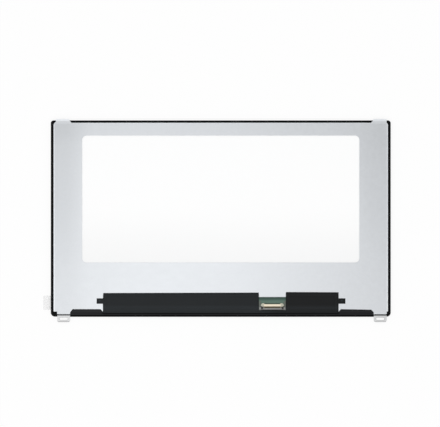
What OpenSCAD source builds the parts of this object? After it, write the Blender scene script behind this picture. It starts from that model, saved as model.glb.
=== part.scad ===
// Laptop screen panel, lying screen down with its back up.
// X runs along the long side, Y towards the top edge and Z out of the back.
// The origin is the middle of the front face.

/* [Panel] */
// Width over the moulded frame
panel_w = 315.8; // [300:0.1:340]
// Height over the moulded frame
panel_h = 182.3; // [176:0.1:200]
// Corner radius at the two lower corners
corner_r_low = 3.7; // [2:0.1:4.5]
// Corner radius at the two upper corners
corner_r_top = 2.6; // [1.5:0.1:3]
// Rounding of the frame's outer edge at the back
edge_r = 0.4; // [0.2:0.05:0.6]

/* [Layers] */
// Thickness of the protective film on the screen
film_t = 0.06; // [0.04:0.01:0.1]
// Thickness of the front polarizer
polarizer_t = 0.14; // [0.1:0.01:0.2]
// Thickness of the color filter glass
filter_glass_t = 0.25; // [0.2:0.01:0.4]
// Thickness of the transistor glass
tft_glass_t = 0.25; // [0.2:0.01:0.4]
// Thickness of the rear polarizer
rear_polarizer_t = 0.12; // [0.1:0.01:0.2]
// Thickness of the tape between cell and frame
cell_tape_t = 0.06; // [0.04:0.01:0.12]
// Thickness of the frame's shelf that carries the cell
shelf_t = 0.32; // [0.25:0.01:0.5]
// Thickness of each prism sheet
prism_t = 0.15; // [0.1:0.01:0.25]
// Thickness of the diffuser sheet
diffuser_t = 0.1; // [0.08:0.01:0.2]
// Thickness of the light guide plate
guide_t = 0.45; // [0.4:0.01:0.7]
// Thickness of the white reflector sheet
reflector_t = 0.2; // [0.1:0.01:0.3]

/* [Cell] */
// Frame wall beside the glass
wall_side = 1.3; // [1:0.05:1.5]
// Frame wall above the glass
wall_top = 1.05; // [0.8:0.05:1.2]
// Gap between the glass and the frame's wall
glass_gap = 0.2; // [0.1:0.05:0.3]
// Dark margin from the glass edge to the picture
glass_margin = 1.7; // [1.5:0.05:2]
// Distance from the panel's lower edge to the transistor glass
ledge_inset = 1.55; // [1.5:0.01:1.7]
// Width of the bare ledge below the color filter glass
ledge_w = 2; // [1.8:0.05:2.4]
// Distance from the color filter glass's lower edge to the picture
low_margin = 1.8; // [1.6:0.05:2.2]
// How far the polarizers reach past the picture
polarizer_lap = 0.9; // [0.6:0.05:1.2]
// How far the frame stands behind the protective film
rim_setback = 0.2; // [0.15:0.01:0.24]
// How far the protective film stays inside the panel's edge
film_inset = 0.6; // [0.4:0.05:1]

/* [Pull tab] */
// How far the tab reaches past the frame
tab_reach = 7.4; // [4:0.1:15]
// Width of the tab along the side
pull_tab_w = 13.3; // [8:0.1:30]
// Distance from the panel's lower edge to the tab
pull_tab_y = 6.2; // [2:0.1:60]
// Gap between the tab and the front polarizer
pull_tab_gap = 0.2; // [0.1:0.05:0.4]
// Corner radius of the tab
pull_tab_r = 0.8; // [0.4:0.1:2]
// Thickness of the tab
pull_tab_t = 0.05; // [0.04:0.01:0.09]

/* [Frame] */
// Visible frame width at the left and right
rim_side = 2.4; // [2.2:0.05:3]
// Visible frame width at the top
rim_top = 2; // [1.8:0.05:2.6]
// Frame width below the back cover
rim_low = 1.95; // [1.85:0.05:2.2]
// How far the frame lies below the back cover's face
rim_drop = 0.05; // [0.02:0.01:0.15]
// Clearance between the frame and the back cover
frame_gap = 0.05; // [0.03:0.01:0.1]
// How far the shelf stays outside the picture
shelf_clear = 0.1; // [0.05:0.01:0.2]
// How far the cell's tape stays inside the polarizer's edge
tape_inset = 0.1; // [0.05:0.01:0.2]
// Height of the corner blocks above the panel's lower edge
block_h = 4.7; // [4.2:0.1:6]
// Thickness of the lower rail where the driver films pass
slim_rail_t = 1.25; // [1:0.05:1.35]
// Bevel of that rail's outer edges
slim_rail_bevel = 0.3; // [0.1:0.05:0.5]
// Number of catches on each side
side_catches = 5; // [2:1:6]
// Distance between catches on a side
side_catch_pitch = 34; // [20:1:34]
// Number of catches along the top
top_catches = 6; // [2:1:6]
// Distance between catches along the top
top_catch_pitch = 42; // [20:1:44]
// Number of catches along the bottom
low_catches = 4; // [2:1:4]
// Distance between catches along the bottom
low_catch_pitch = 54; // [20:1:56]
// Length of a catch
catch_l = 3; // [2:0.1:5]
// Height of a catch
catch_h = 0.35; // [0.25:0.01:0.4]
// How far a catch stands out of the frame
catch_d = 0.22; // [0.15:0.01:0.28]
// Distance from the frame's shelf to a catch
catch_rise = 0.2; // [0.1:0.05:0.25]
// Play at each end of a catch in its window
catch_play = 0.2; // [0.1:0.05:0.4]

/* [Back cover] */
// Sheet thickness of the back cover
cover_t = 0.25; // [0.2:0.01:0.3]
// Outer bend radius of the back cover's flanges
cover_bend_r = 0.6; // [0.45:0.05:0.7]
// Distance from the panel's sides to the window
window_side = 29.1; // [20:0.1:60]
// Distance from the panel's upper edge to the window
window_top = 14.05; // [8:0.05:40]
// Distance from the panel's lower edge to the window
window_low = 50.25; // [26:0.05:80]
// Corner radius of the window
window_r = 4.2; // [1:0.1:12]
// Width of each top tab
hook_w = 12.6; // [8:0.1:16]
// How far the top tabs reach past the frame
hook_reach = 1.35; // [0.8:0.05:3]
// Distance from the panel's left side to the middle of the left tab
hook_left = 11.1; // [9.9:0.1:12.4]
// Distance from the panel's right side to the middle of the right tab
hook_right = 10.1; // [9.9:0.1:12.4]
// Slanted root on the inner side of each top tab
hook_root = 1.8; // [0.5:0.1:1.9]
// Slanted cut of the cover's upper corners, below its top edge
corner_cut = 1.5; // [1:0.1:3]
// Relief between a flange and a cut
flange_relief = 0.3; // [0.2:0.05:0.6]

/* [Mounting ears] */
// Width of an ear
ear_w = 12; // [10:0.1:14]
// How far an ear reaches past the frame
ear_reach = 5.05; // [4.2:0.05:8]
// Sheet thickness of an ear
ear_t = 0.3; // [0.2:0.01:0.4]
// Height of the ear's front face above the front of the panel
ear_z = 1.25; // [1.2:0.05:1.6]
// Distance from the panel's left side to the middle of the left ear
ear_left = 11.9; // [9.7:0.1:16]
// Distance from the panel's right side to the middle of the right ear
ear_right = 9.7; // [9.7:0.1:16]
// Corner radius of an ear
ear_r = 1.6; // [0.5:0.1:3]
// Length of the slot from end to end
slot_l = 7.6; // [4:0.1:8.5]
// Width of the slot
slot_w = 2.2; // [1.6:0.1:2.6]
// Distance from the panel's lower edge to the slot's middle
slot_y = 2.1; // [1.8:0.05:2.6]
// Width of the frame's bar between the cover and an ear
ear_bar = 0.72; // [0.5:0.01:1]
// Clearance beside an ear
ear_gap = 0.05; // [0.03:0.01:0.1]
// Length of the ear's anchor inside the corner block
anchor_l = 4.2; // [3.4:0.1:4.6]
// Length of the ear's inner lug inside the lower rail
anchor_lug = 3; // [1:0.1:5]
// Frame wall left outside the anchor
anchor_inset = 0.9; // [0.7:0.05:1]
// Frame wall left between the anchor and the back cover
anchor_wall = 0.2; // [0.15:0.01:0.3]
// Step from the ear's outer side to the anchor's plate
anchor_step = 0.5; // [0.3:0.05:0.6]
// Radius of the anchor's locking hole
anchor_hole_r = 0.7; // [0.5:0.05:0.75]

/* [Light bar] */
// Thickness of the light bar's flexible circuit
flex_t = 0.08; // [0.06:0.01:0.1]
// How far the flexible circuit laps onto the light guide
flex_lap = 0.95; // [0.5:0.05:1.2]
// Number of light-emitting diodes
led_count = 36; // [20:1:48]
// Length of a diode
led_l = 3; // [1.5:0.1:3.8]
// Distance from the last diode to the end of the flexible circuit
flex_end = 0.8; // [0.4:0.1:3]
// Depth of a diode
led_d = 0.8; // [0.6:0.05:0.9]
// Gap between a diode and the back cover's flange
led_back_gap = 0.3; // [0.2:0.05:0.4]
// Gap between a diode and the light guide
led_front_gap = 0.1; // [0.05:0.01:0.2]
// Gap between a diode and the reflector
led_roof_gap = 0.05; // [0.03:0.01:0.1]
// Width of the flexible circuit's tail
tail_w = 6; // [4:0.1:8]
// Play on each side of the tail where it passes the frame and the cover
tail_play = 0.4; // [0.2:0.05:0.6]

/* [Circuit board] */
// Thickness of the board
board_t = 0.5; // [0.4:0.05:0.8]
// Thickness of the tape under the board
board_tape_t = 0.05; // [0.03:0.01:0.1]
// Width of each strip of tape under the board
board_tape_w = 5; // [3:0.1:6]
// Distance from the board's edge to the tape under it
board_tape_inset = 1; // [0.5:0.1:1.5]
// Distance from the board's ends to the sides of the cover film
board_end_gap = 4.1; // [3.9:0.1:6]
// Distance from the panel's lower edge to the board's lower edge
board_low = 2.95; // [2.9:0.05:3.2]
// Distance from the panel's lower edge to the board's upper edge
board_top = 18.2; // [16:0.1:19.5]

/* [Board parts] */
// Distance from the panel's lower edge to the middle line of the larger parts
parts_low = 13.2; // [12.6:0.1:13.8]
// Side of the timing controller
controller_w = 8; // [5:0.5:8.5]
// Thickness of the timing controller
controller_t = 0.75; // [0.5:0.05:0.85]
// Sideways place of the timing controller's middle
controller_x = -8; // [-9:0.5:1]
// Side of the backlight driver
backlight_driver_w = 4; // [3:0.5:5]
// Thickness of the backlight driver
backlight_driver_t = 0.6; // [0.4:0.05:0.85]
// Distance from the tail's middle to the backlight driver's middle
backlight_driver_x = 16; // [9:0.5:18]
// Side of a power inductor
inductor_w = 3; // [2:0.1:4]
// Height of a power inductor
inductor_h = 0.85; // [0.6:0.05:0.9]
// Distance from the tail's middle to the first inductor's middle
inductor_x = 25.5; // [23:0.5:50]
// Distance from the board's other end to the second inductor's middle
inductor_end = 12.5; // [5:0.5:24]
// Length of a capacitor
capacitor_l = 1; // [0.6:0.1:1.6]
// Width and height of a capacitor
capacitor_w = 0.5; // [0.3:0.05:0.8]
// Distance between capacitors along the board
capacitor_step_x = 1.8; // [1.7:0.1:2.2]
// Distance between capacitors across the board
capacitor_step_y = 2.4; // [1:0.1:2.6]
// Gap between the timing controller and the nearest capacitors
capacitor_gap = 2; // [1:0.1:4]
// Distance from the board's end to the light bar's tail
tail_in = 2; // [1.2:0.1:6]
// Gap between the tail and the first driver film
tail_film_gap = 1.6; // [1.2:0.1:6]
// Distance from the panel's lower edge to the tail's connector
tail_plug_low = 9.4; // [8.6:0.1:11]
// Depth of the tail's connector
tail_plug_d = 3.4; // [2.4:0.1:4]
// Height of the tail's connector
tail_plug_h = 0.8; // [0.6:0.05:0.9]
// Wall beside the tail in its connector
tail_plug_wall = 1; // [0.6:0.1:1.1]
// How far the tail goes into its connector
tail_insert = 1.2; // [0.8:0.1:1.8]
// Play round the tail in its connector
tail_plug_play = 0.1; // [0.03:0.01:0.2]

/* [Cable connector] */
// Sideways place of the connector's middle
plug_x = 47.9; // [30:0.1:60]
// Distance from the panel's lower edge to the connector's front edge
plug_y = 6.65; // [6.2:0.05:8]
// Number of contacts
contact_count = 30; // [20:1:40]
// Distance between contacts
contact_pitch = 0.5; // [0.4:0.01:0.6]
// Width of a contact
contact_w = 0.2; // [0.15:0.01:0.25]
// Thickness of a contact
contact_t = 0.08; // [0.05:0.01:0.1]
// Length of the soldered tails behind the housing
contact_tail = 1; // [0.6:0.1:1.5]
// Height of the housing
housing_h = 0.9; // [0.8:0.05:0.95]
// Thickness of the housing's floor
housing_floor = 0.3; // [0.2:0.01:0.35]
// Depth of the floor from front to back
housing_depth = 4.9; // [4.4:0.1:5.2]
// Depth of the housing's raised bar
housing_bar = 2.1; // [1.5:0.1:2.5]
// Length of the housing past the contacts, at each end
housing_end = 1.9; // [1.2:0.1:2.4]
// Play round the contacts in the housing
contact_play = 0.04; // [0.02:0.01:0.08]
// How far the contacts stay inside the housing's front edge
contact_inset = 0.3; // [0.1:0.05:0.6]
// Side walls of the housing's floor, past the contacts
housing_wall = 0.7; // [0.5:0.05:0.8]
// Depth of the opening in the floor, in front of the bar
floor_gap = 1.3; // [0.5:0.05:1.35]
// Reach of the pointed posts past the bar's ends
post_reach = 1.3; // [0.6:0.1:1.4]
// Reach of the posts in front of the bar
post_front = 0.5; // [0.3:0.05:0.6]
// Reach of the posts behind the bar
post_back = 0.9; // [0.4:0.05:1]
// Blunt tip of a post
post_tip = 0.6; // [0.4:0.05:1]
// How far the posts stay below the housing's top
post_drop = 0.1; // [0.05:0.05:0.3]
// Gap between the shell and the housing
shell_gap = 0.1; // [0.05:0.01:0.2]
// Thickness of the shell's sheet
shell_t = 0.15; // [0.1:0.01:0.2]
// Depth of the shell's bridge
shell_bridge = 1.4; // [1.2:0.1:1.6]
// Depth of the strap that joins the bridge to each foot
shell_strap = 0.5; // [0.3:0.05:0.6]
// Reach of the shell's feet behind the bridge
shell_arm = 0.7; // [0.3:0.05:0.8]
// Reach of the shell's feet past the housing's floor
shell_reach = 2.7; // [2.2:0.1:3.4]
// Distance from the ends of the bridge's flat top to the sides of the housing's floor
shell_top_inset = 0.7; // [0.4:0.1:2]
// Length of each of the shell's soldered feet
shell_foot = 1.6; // [1.2:0.1:2]

/* [Driver films] */
// Number of driver films
film_count = 4; // [3:1:6]
// Gap between driver films
film_gap = 12; // [6:0.5:18]
// Thickness of a driver film
driver_film_t = 0.08; // [0.06:0.01:0.1]
// Lap of a driver film on the board
film_board_lap = 2; // [1.5:0.1:2.5]
// Lap of a driver film on the glass ledge
film_glass_lap = 1.4; // [1:0.1:1.7]
// Length of a driver chip
chip_l = 18; // [10:0.5:24]
// Width of a driver chip
chip_w = 1.1; // [0.8:0.05:1.15]
// Thickness of a driver chip
chip_t = 0.35; // [0.25:0.01:0.4]
// Gap between a driver chip and the board
chip_gap = 0.2; // [0.1:0.05:0.3]

/* [Board cover film] */
// Distance from the panel's sides to the cover film
cover_film_side = 48.8; // [40:0.05:60]
// Thickness of the cover film
cover_film_t = 0.1; // [0.08:0.01:0.15]
// Distance from the panel's lower edge to the film's lower edge
cover_film_low = 3.5; // [3.4:0.05:3.8]
// Distance from the panel's lower edge to the film's upper edge
cover_film_top = 22.15; // [21.5:0.05:24]
// Height of the film's flat over the board's parts
film_rise = 0.96; // [0.96:0.01:1.2]
// Flat edge stuck to the back cover
film_margin = 1.3; // [0.8:0.1:1.5]
// Width of the slope round the film's flat
film_slope = 2.4; // [2:0.1:2.6]
// Height of the lower step's end above the panel's lower edge
film_step_y = 7.1; // [6.6:0.1:7.6]
// Width of the lower step
film_step_w = 2; // [1.5:0.1:2.4]
// Gap between the connector's feet and the notch
notch_gap = 0.4; // [0.2:0.05:1]
// Distance from the panel's lower edge to the notch
notch_y = 6.3; // [5.5:0.05:6.5]
// Width of the film's slope beside the notch
notch_slope = 1.4; // [0.8:0.1:2.4]
// Reach of the side lugs
lug_reach = 6.5; // [3:0.1:9]
// Width of the side lugs
lug_w = 4.7; // [3:0.1:8]
// Distance from the panel's lower edge to the middle of the lugs
lug_y = 14.4; // [11:0.1:17]

/* [Edge tape] */
// Thickness of the edge tape
edge_tape_t = 0.07; // [0.05:0.01:0.1]
// Clearance between the edge tape and what it wraps
wrap_gap = 0.02; // [0.015:0.005:0.04]
// Distance from the panel's lower edge to the tape's narrow part
wrap_y = 3.05; // [2.2:0.05:3.2]
// Distance from the panel's lower edge to the tape's wide ends
wrap_wide_y = 6.95; // [6:0.05:9]
// Slanted corners of the wide parts, along the panel
wrap_slant = 2.1; // [1:0.1:4]
// Height of the slanted corner beside an ear
wrap_slant_y = 2.8; // [1.5:0.1:3]
// Gap between an ear and the tape
wrap_end_gap = 0.15; // [0.1:0.05:0.5]
// Gap between the cover film's side and the tape's wide part
wrap_film_gap = 1.2; // [0.6:0.1:2]
// Length over which the tape rises onto the driver films
wrap_rise_w = 3.6; // [1.2:0.1:4.6]
// Distance from the panel's lower edge to the tape's end on the screen side
wrap_front_y = 3.4; // [3:0.05:3.5]

/* [Hidden] */

$fn = 64;
LEFT = -1;
RIGHT = 1;
past = 1; // how far a cut runs past what it cuts

frame_black = [0.13, 0.14, 0.15];
cover_silver = [0.82, 0.84, 0.86];
sheet_white = [0.97, 0.97, 0.97];
clear_white = [0.93, 0.93, 0.93, 0.6];
glass_dark = [0.12, 0.13, 0.16];
steel = [0.78, 0.79, 0.8];
board_green = [0.33, 0.44, 0.39];
ivory = [0.93, 0.89, 0.8];
film_brown = [0.35, 0.24, 0.14];
gold = [0.85, 0.7, 0.4];
chip_black = [0.1, 0.1, 0.11];
film_black = [0.17, 0.18, 0.19];

// Outline
edge_x = panel_w / 2;
edge_y = panel_h / 2;
low_y = -edge_y;

// Heights of the layers, from the screen's face to the back
polarizer_z = film_t;
filter_z = polarizer_z + polarizer_t;
tft_z = filter_z + filter_glass_t;
rear_polarizer_z = tft_z + tft_glass_t;
cell_tape_z = rear_polarizer_z + rear_polarizer_t;
shelf_z = cell_tape_z + cell_tape_t;
upper_prism_z = shelf_z + shelf_t;
lower_prism_z = upper_prism_z + prism_t;
diffuser_z = lower_prism_z + prism_t;
guide_z = diffuser_z + diffuser_t;
reflector_z = guide_z + guide_t;
cover_z = reflector_z + reflector_t;
back_z = cover_z + cover_t;
rim_front_z = film_t + rim_setback;
rim_back_z = back_z - rim_drop;

// Glass and picture
glass_x = edge_x - wall_side - glass_gap;
glass_top = edge_y - wall_top - glass_gap;
tft_low = low_y + ledge_inset;
filter_low = tft_low + ledge_w;
picture_x = glass_x - glass_margin;
picture_top = glass_top - glass_margin;
picture_low = filter_low + low_margin;
polarizer_x = picture_x + polarizer_lap;

// Back cover and what lies inside it
cover_x = edge_x - rim_side;
cover_top = edge_y - rim_top;
cover_low = low_y + rim_low;
flange_x = cover_x - cover_t;
flange_top = cover_top - cover_t;
flange_low = cover_low + cover_t;
flat_x = cover_x - cover_bend_r;
flat_top = cover_top - cover_bend_r;
flat_low = cover_low + cover_bend_r;
bend_z = back_z - cover_bend_r;
flange_z = upper_prism_z + frame_gap;
sheet_gap = 0.15;
sheet_x = flange_x - sheet_gap;
sheet_top = flange_top - sheet_gap;
cut_y = cover_top - corner_cut;
block_top = low_y + block_h;

// Light bar
led_low = flange_low + led_back_gap;
guide_low = led_low + led_d + led_front_gap;
flex_top = guide_low + flex_lap;
flex_low = flange_low + 2 * frame_gap;
flex_z = guide_z - flex_t;
sheet_low = flex_top + sheet_gap;
led_h = guide_t - led_roof_gap;

// Board, its parts and what bends round the edge
board_z = back_z + board_tape_t;
board_back_z = board_z + board_t;
board_low_y = low_y + board_low;
board_top_y = low_y + board_top;
driver_back_z = board_back_z + driver_film_t;
cover_film_x = edge_x - cover_film_side;
board_x0 = -cover_film_x + board_end_gap;
board_x1 = cover_film_x - board_end_gap;
tail_x = board_x0 + tail_in + tail_w / 2;
tail_plug_w = tail_w + 2 * tail_plug_wall;
tail_plug_y = low_y + tail_plug_low;
tail_end_y = tail_plug_y + tail_insert;
parts_y = low_y + parts_low;
film_x0 = tail_x + tail_w / 2 + tail_film_gap;
film_step = (board_x1 - film_x0) / film_count;
film_w = film_step - film_gap;

// The edge tape's inner line is a half circle between the screen side and the back
wrap_out_y = low_y + edge_tape_t;
wrap_front_z = tft_z - driver_film_t - wrap_gap;
wrap_low_z = back_z + wrap_gap;
wrap_high_z = driver_back_z + wrap_gap;
wrap_bend_r = (wrap_high_z - wrap_front_z) / 2;
wrap_bend_y = wrap_out_y + wrap_bend_r;
wrap_bend_z = wrap_front_z + wrap_bend_r;
rail_bend_r = (wrap_low_z - wrap_front_z) / 2 - wrap_gap;
rail_bend_y = wrap_out_y + wrap_gap + rail_bend_r;
rail_bend_z = wrap_front_z + wrap_gap + rail_bend_r;
driver_bend_r = wrap_bend_r - wrap_gap;
tail_bend_r = (driver_back_z - flex_z) / 2;
tail_bend_z = flex_z + tail_bend_r;

// Ends of the ears, the corner blocks, the light bar and the edge tape's wide parts
function ear_x(side) = side * (edge_x - (side == LEFT ? ear_left : ear_right));
function ear_in(side) = ear_x(side) - side * ear_w / 2;
function ear_out(side) = ear_x(side) + side * ear_w / 2;
function block_in(side) = ear_out(side) + side * ear_gap;
function block_cut(side) = block_in(side) - side * frame_gap;
flex_x0 = block_in(LEFT) + sheet_gap;
flex_x1 = block_in(RIGHT) - sheet_gap;
function wrap_end(side) = ear_in(side) - side * wrap_end_gap;
function wide_end(side) = side * (cover_film_x + wrap_film_gap);

// Cable connector
plug_front = low_y + plug_y;
plug_back = plug_front + housing_depth;
contact_room = contact_count * contact_pitch + 2 * contact_play;
housing_w = contact_count * contact_pitch + 2 * housing_end;
shell_w = housing_w + 2 * shell_reach;
shell_top_w = housing_w - 2 * shell_top_inset;

// Top tabs
function hook_x(side) = side * (edge_x - (side == LEFT ? hook_left : hook_right));
function hook_out(side) = hook_x(side) + side * hook_w / 2;
function hook_in(side) = hook_x(side) - side * hook_w / 2;
function hook_cut(side) = cut_y + cover_x - side * hook_out(side);
hook_top = edge_y + hook_reach;

function backwards(list) = [for (i = [len(list) - 1 : -1 : 0]) list[i]];

// Shared shapes

module layer(z, t) {
  translate([0, 0, z])
    linear_extrude(t)
      children();
}

// A section drawn in Y and Z, carried along X
module along_x(x0, x1) {
  translate([x0, 0, 0])
    rotate([90, 0, 90])
      linear_extrude(x1 - x0)
        children();
}

// A section drawn in X and Z, carried along Y
module along_y(y0, y1) {
  translate([0, y1, 0])
    rotate([90, 0, 0])
      linear_extrude(y1 - y0)
        children();
}

module area(x0, y0, x1, y1) {
  translate([min(x0, x1), min(y0, y1)])
    square([abs(x1 - x0), abs(y1 - y0)]);
}

module round_area(x0, y0, x1, y1, r_low, r_top) {
  area(x0, y0 + r_low, x1, y1 - r_top);
  area(x0 + r_low, y0, x1 - r_low, y0 + 2 * r_low);
  area(x0 + r_top, y1 - 2 * r_top, x1 - r_top, y1);
  for (side = [0, 1]) {
    translate([side ? x1 - r_low : x0 + r_low, y0 + r_low])
      circle(r_low);
    translate([side ? x1 - r_top : x0 + r_top, y1 - r_top])
      circle(r_top);
  }
}

module panel_outline() {
  round_area(-edge_x, -edge_y, edge_x, edge_y, corner_r_low, corner_r_top);
}

// Copies along X, evenly spaced on both sides of the middle
module row(count, pitch) {
  for (i = [0 : count - 1])
    translate([(i - (count - 1) / 2) * pitch, 0, 0])
      children();
}

// Screen side

module protective_film() {
  color(clear_white)
    layer(0, film_t)
      round_area(-edge_x + film_inset, -edge_y + film_inset, edge_x - film_inset,
        edge_y - film_inset, corner_r_low - film_inset, corner_r_top - film_inset);
}

module pull_tab() {
  y0 = low_y + pull_tab_y;
  color(clear_white)
    layer(film_t, pull_tab_t)
      round_area(-edge_x - tab_reach, y0, -polarizer_x - pull_tab_gap, y0 + pull_tab_w,
        pull_tab_r, pull_tab_r);
}

// The picture's outline, grown on all sides
module picture_area(lap) {
  area(-picture_x - lap, picture_low - lap, picture_x + lap, picture_top + lap);
}

module front_polarizer() {
  color(glass_dark)
    layer(polarizer_z, polarizer_t)
      picture_area(polarizer_lap);
}

module color_filter_glass() {
  color(glass_dark)
    layer(filter_z, filter_glass_t)
      area(-glass_x, filter_low, glass_x, glass_top);
}

module tft_glass() {
  color(glass_dark)
    layer(tft_z, tft_glass_t)
      area(-glass_x, tft_low, glass_x, glass_top);
}

module rear_polarizer() {
  color(glass_dark)
    layer(rear_polarizer_z, rear_polarizer_t)
      picture_area(polarizer_lap);
}

module cell_tape() {
  color(frame_black)
    layer(cell_tape_z, cell_tape_t)
      difference() {
        picture_area(polarizer_lap - tape_inset);
        picture_area(shelf_clear);
      }
}

// Light stack

// Outline of a sheet inside the cover, clear of the frame's corner blocks and corner webs
module sheet_outline(low) {
  web = corner_cut + 2 * sheet_gap;
  difference() {
    area(-sheet_x, low, sheet_x, sheet_top);
    for (side = [LEFT, RIGHT]) {
      area(block_in(side) - side * sheet_gap, low - past, side * (sheet_x + past),
        block_top + sheet_gap);
      translate([side * sheet_x, sheet_top])
        rotate(45)
          square(web * sqrt(2), center = true);
    }
  }
}

module upper_prism_sheet() {
  color(sheet_white)
    layer(upper_prism_z, prism_t)
      sheet_outline(sheet_low);
}

module lower_prism_sheet() {
  color(sheet_white)
    layer(lower_prism_z, prism_t)
      sheet_outline(sheet_low);
}

module diffuser_sheet() {
  color(sheet_white)
    layer(diffuser_z, diffuser_t)
      sheet_outline(sheet_low);
}

module light_guide_plate() {
  color(clear_white)
    layer(guide_z, guide_t)
      sheet_outline(guide_low);
}

// The reflector stays clear of the inside of the cover's bends
module reflector_sheet() {
  color(sheet_white)
    layer(reflector_z, reflector_t)
      intersection() {
        sheet_outline(flat_low);
        area(-flat_x, flat_low, flat_x, flat_top);
      }
}

// Half circle of a thin strip round the lower edge, drawn in Y and Z
module half_ring(y, z, r, t) {
  translate([y, z])
    difference() {
      circle(r);
      circle(r - t);
      area(0, -r - past, r + past, r + past);
    }
}

module led_flex() {
  color(film_brown) {
    layer(flex_z, flex_t)
      area(flex_x0, flex_low, flex_x1, flex_top);
    along_x(tail_x - tail_w / 2, tail_x + tail_w / 2) {
      area(wrap_bend_y, flex_z, flex_low, flex_z + flex_t);
      half_ring(wrap_bend_y, tail_bend_z, tail_bend_r, flex_t);
      area(wrap_bend_y, driver_back_z - flex_t, tail_end_y, driver_back_z);
    }
  }
}

module leds() {
  color("ivory")
    translate([(flex_x0 + flex_x1) / 2, led_low, guide_z])
      row(led_count, (flex_x1 - flex_x0 - 2 * flex_end - led_l) / (led_count - 1))
        translate([-led_l / 2, 0, 0])
          cube([led_l, led_d, led_h]);
}

// Moulded frame

// Inside of the frame behind the shelf, with webs across its upper corners
module frame_opening() {
  x = cover_x + frame_gap;
  top = cover_top + frame_gap;
  difference() {
    area(-x, cover_low - frame_gap, x, top);
    for (side = [LEFT, RIGHT]) {
      area(block_in(side), low_y, side * (x + past), block_top);
      translate([side * x, top])
        rotate(45)
          square((corner_cut - frame_gap) * sqrt(2), center = true);
    }
  }
}

// Recess in the frame's top bar for a tab of the back cover
module hook_seat(side) {
  x_out = hook_out(side) + side * frame_gap;
  x_in = hook_in(side) - side * frame_gap;
  y0 = cover_top - past;
  polygon([
    [side * (cover_x + frame_gap), cut_y],
    [side * (cover_x + frame_gap), cut_y + frame_gap],
    [x_out, hook_cut(side) + frame_gap],
    [x_out, edge_y + past],
    [x_in, edge_y + past],
    [x_in, cover_top + hook_root + frame_gap],
    [x_in - side * hook_root, cover_top + frame_gap],
    [x_in - side * hook_root, y0],
    [side * (cover_x - past), y0]
  ]);
}

module catches(clear, reach) {
  z = upper_prism_z + catch_rise - clear;
  h = catch_h + 2 * clear;
  end = clear > 0 ? catch_play : 0;
  l = catch_l + 2 * end;
  for (side = [LEFT, RIGHT])
    translate([side * (cover_x + frame_gap), 0, z])
      rotate([0, 0, 90])
        row(side_catches, side_catch_pitch)
          translate([-l / 2, side > 0 ? 0 : -reach, 0])
            cube([l, reach, h]);
  translate([0, cover_top + frame_gap - reach, z])
    row(top_catches, top_catch_pitch)
      translate([-l / 2, 0, 0])
        cube([l, reach, h]);
  translate([0, cover_low - frame_gap, z])
    row(low_catches, low_catch_pitch)
      translate([-l / 2, 0, 0])
        cube([l, reach, h]);
}

// Sections of the lower rail, drawn in Y and Z

module rail_under_ear() {
  area(low_y, rim_front_z, tft_low - glass_gap, shelf_z);
  area(low_y, shelf_z, cover_low - frame_gap, ear_z + ear_t);
  area(cover_low - ear_bar - frame_gap, ear_z, cover_low - frame_gap, rim_back_z);
}

module rail_under_tape() {
  area(rail_bend_y, wrap_front_z + wrap_gap, tft_low - glass_gap, shelf_z);
  area(rail_bend_y, shelf_z, cover_low - frame_gap, rim_back_z);
  intersection() {
    translate([rail_bend_y, rail_bend_z])
      circle(rail_bend_r);
    area(low_y, 0, rail_bend_y, rim_back_z);
  }
}

module rail_under_films() {
  corner = slim_rail_bevel;
  y1 = cover_low - frame_gap;
  y0 = y1 - slim_rail_t;
  polygon([
    [y0 + corner, shelf_z],
    [y1, shelf_z],
    [y1, rim_back_z],
    [y0 + corner, rim_back_z],
    [y0, rim_back_z - corner],
    [y0, shelf_z + corner]
  ]);
}

module lower_rail() {
  for (side = [LEFT, RIGHT]) {
    a = ear_in(side) - side * ear_gap;
    b = wide_end(side);
    along_x(min(a, b), max(a, b))
      rail_under_tape();
    along_x(min(a, block_in(side)), max(a, block_in(side)))
      rail_under_ear();
    layer(rim_front_z, shelf_z - rim_front_z)
      intersection() {
        panel_outline();
        area(block_in(side), low_y, side * edge_x, tft_low - glass_gap);
      }
    layer(shelf_z, rim_back_z - shelf_z)
      intersection() {
        panel_outline();
        area(block_in(side), low_y, side * edge_x, block_top);
      }
  }
  along_x(wide_end(LEFT), wide_end(RIGHT))
    rail_under_films();
}

// The frame's outline above the lower rail
module upper_outline() {
  intersection() {
    panel_outline();
    area(-edge_x, cover_low - frame_gap, edge_x, edge_y);
  }
}

// Cutter that rounds the outer edge at the back, at one straight stretch or corner
module round_cut_section() {
  difference() {
    area(-edge_r, -edge_r, past, past);
    translate([-edge_r, -edge_r])
      circle(edge_r);
    area(-edge_r - past, -edge_r - past, -edge_r, past);
    area(-edge_r - past, -edge_r - past, past, -edge_r);
  }
}

module round_cut_corner(side, y, r, angle) {
  translate([side * (edge_x - r), y, rim_back_z])
    rotate([0, 0, angle])
      rotate_extrude(angle = 90)
        translate([r, 0])
          round_cut_section();
}

module round_cuts() {
  y0 = low_y + corner_r_low;
  y1 = edge_y - corner_r_top;
  along_y(y0, y1) {
    translate([edge_x, rim_back_z])
      round_cut_section();
    translate([-edge_x, rim_back_z])
      mirror([1, 0])
        round_cut_section();
  }
  along_x(-edge_x + corner_r_top, edge_x - corner_r_top)
    translate([edge_y, rim_back_z])
      round_cut_section();
  round_cut_corner(RIGHT, y1, corner_r_top, 0);
  round_cut_corner(LEFT, y1, corner_r_top, 90);
  round_cut_corner(LEFT, y0, corner_r_low, 180);
  round_cut_corner(RIGHT, y0, corner_r_low, 270);
}

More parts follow.
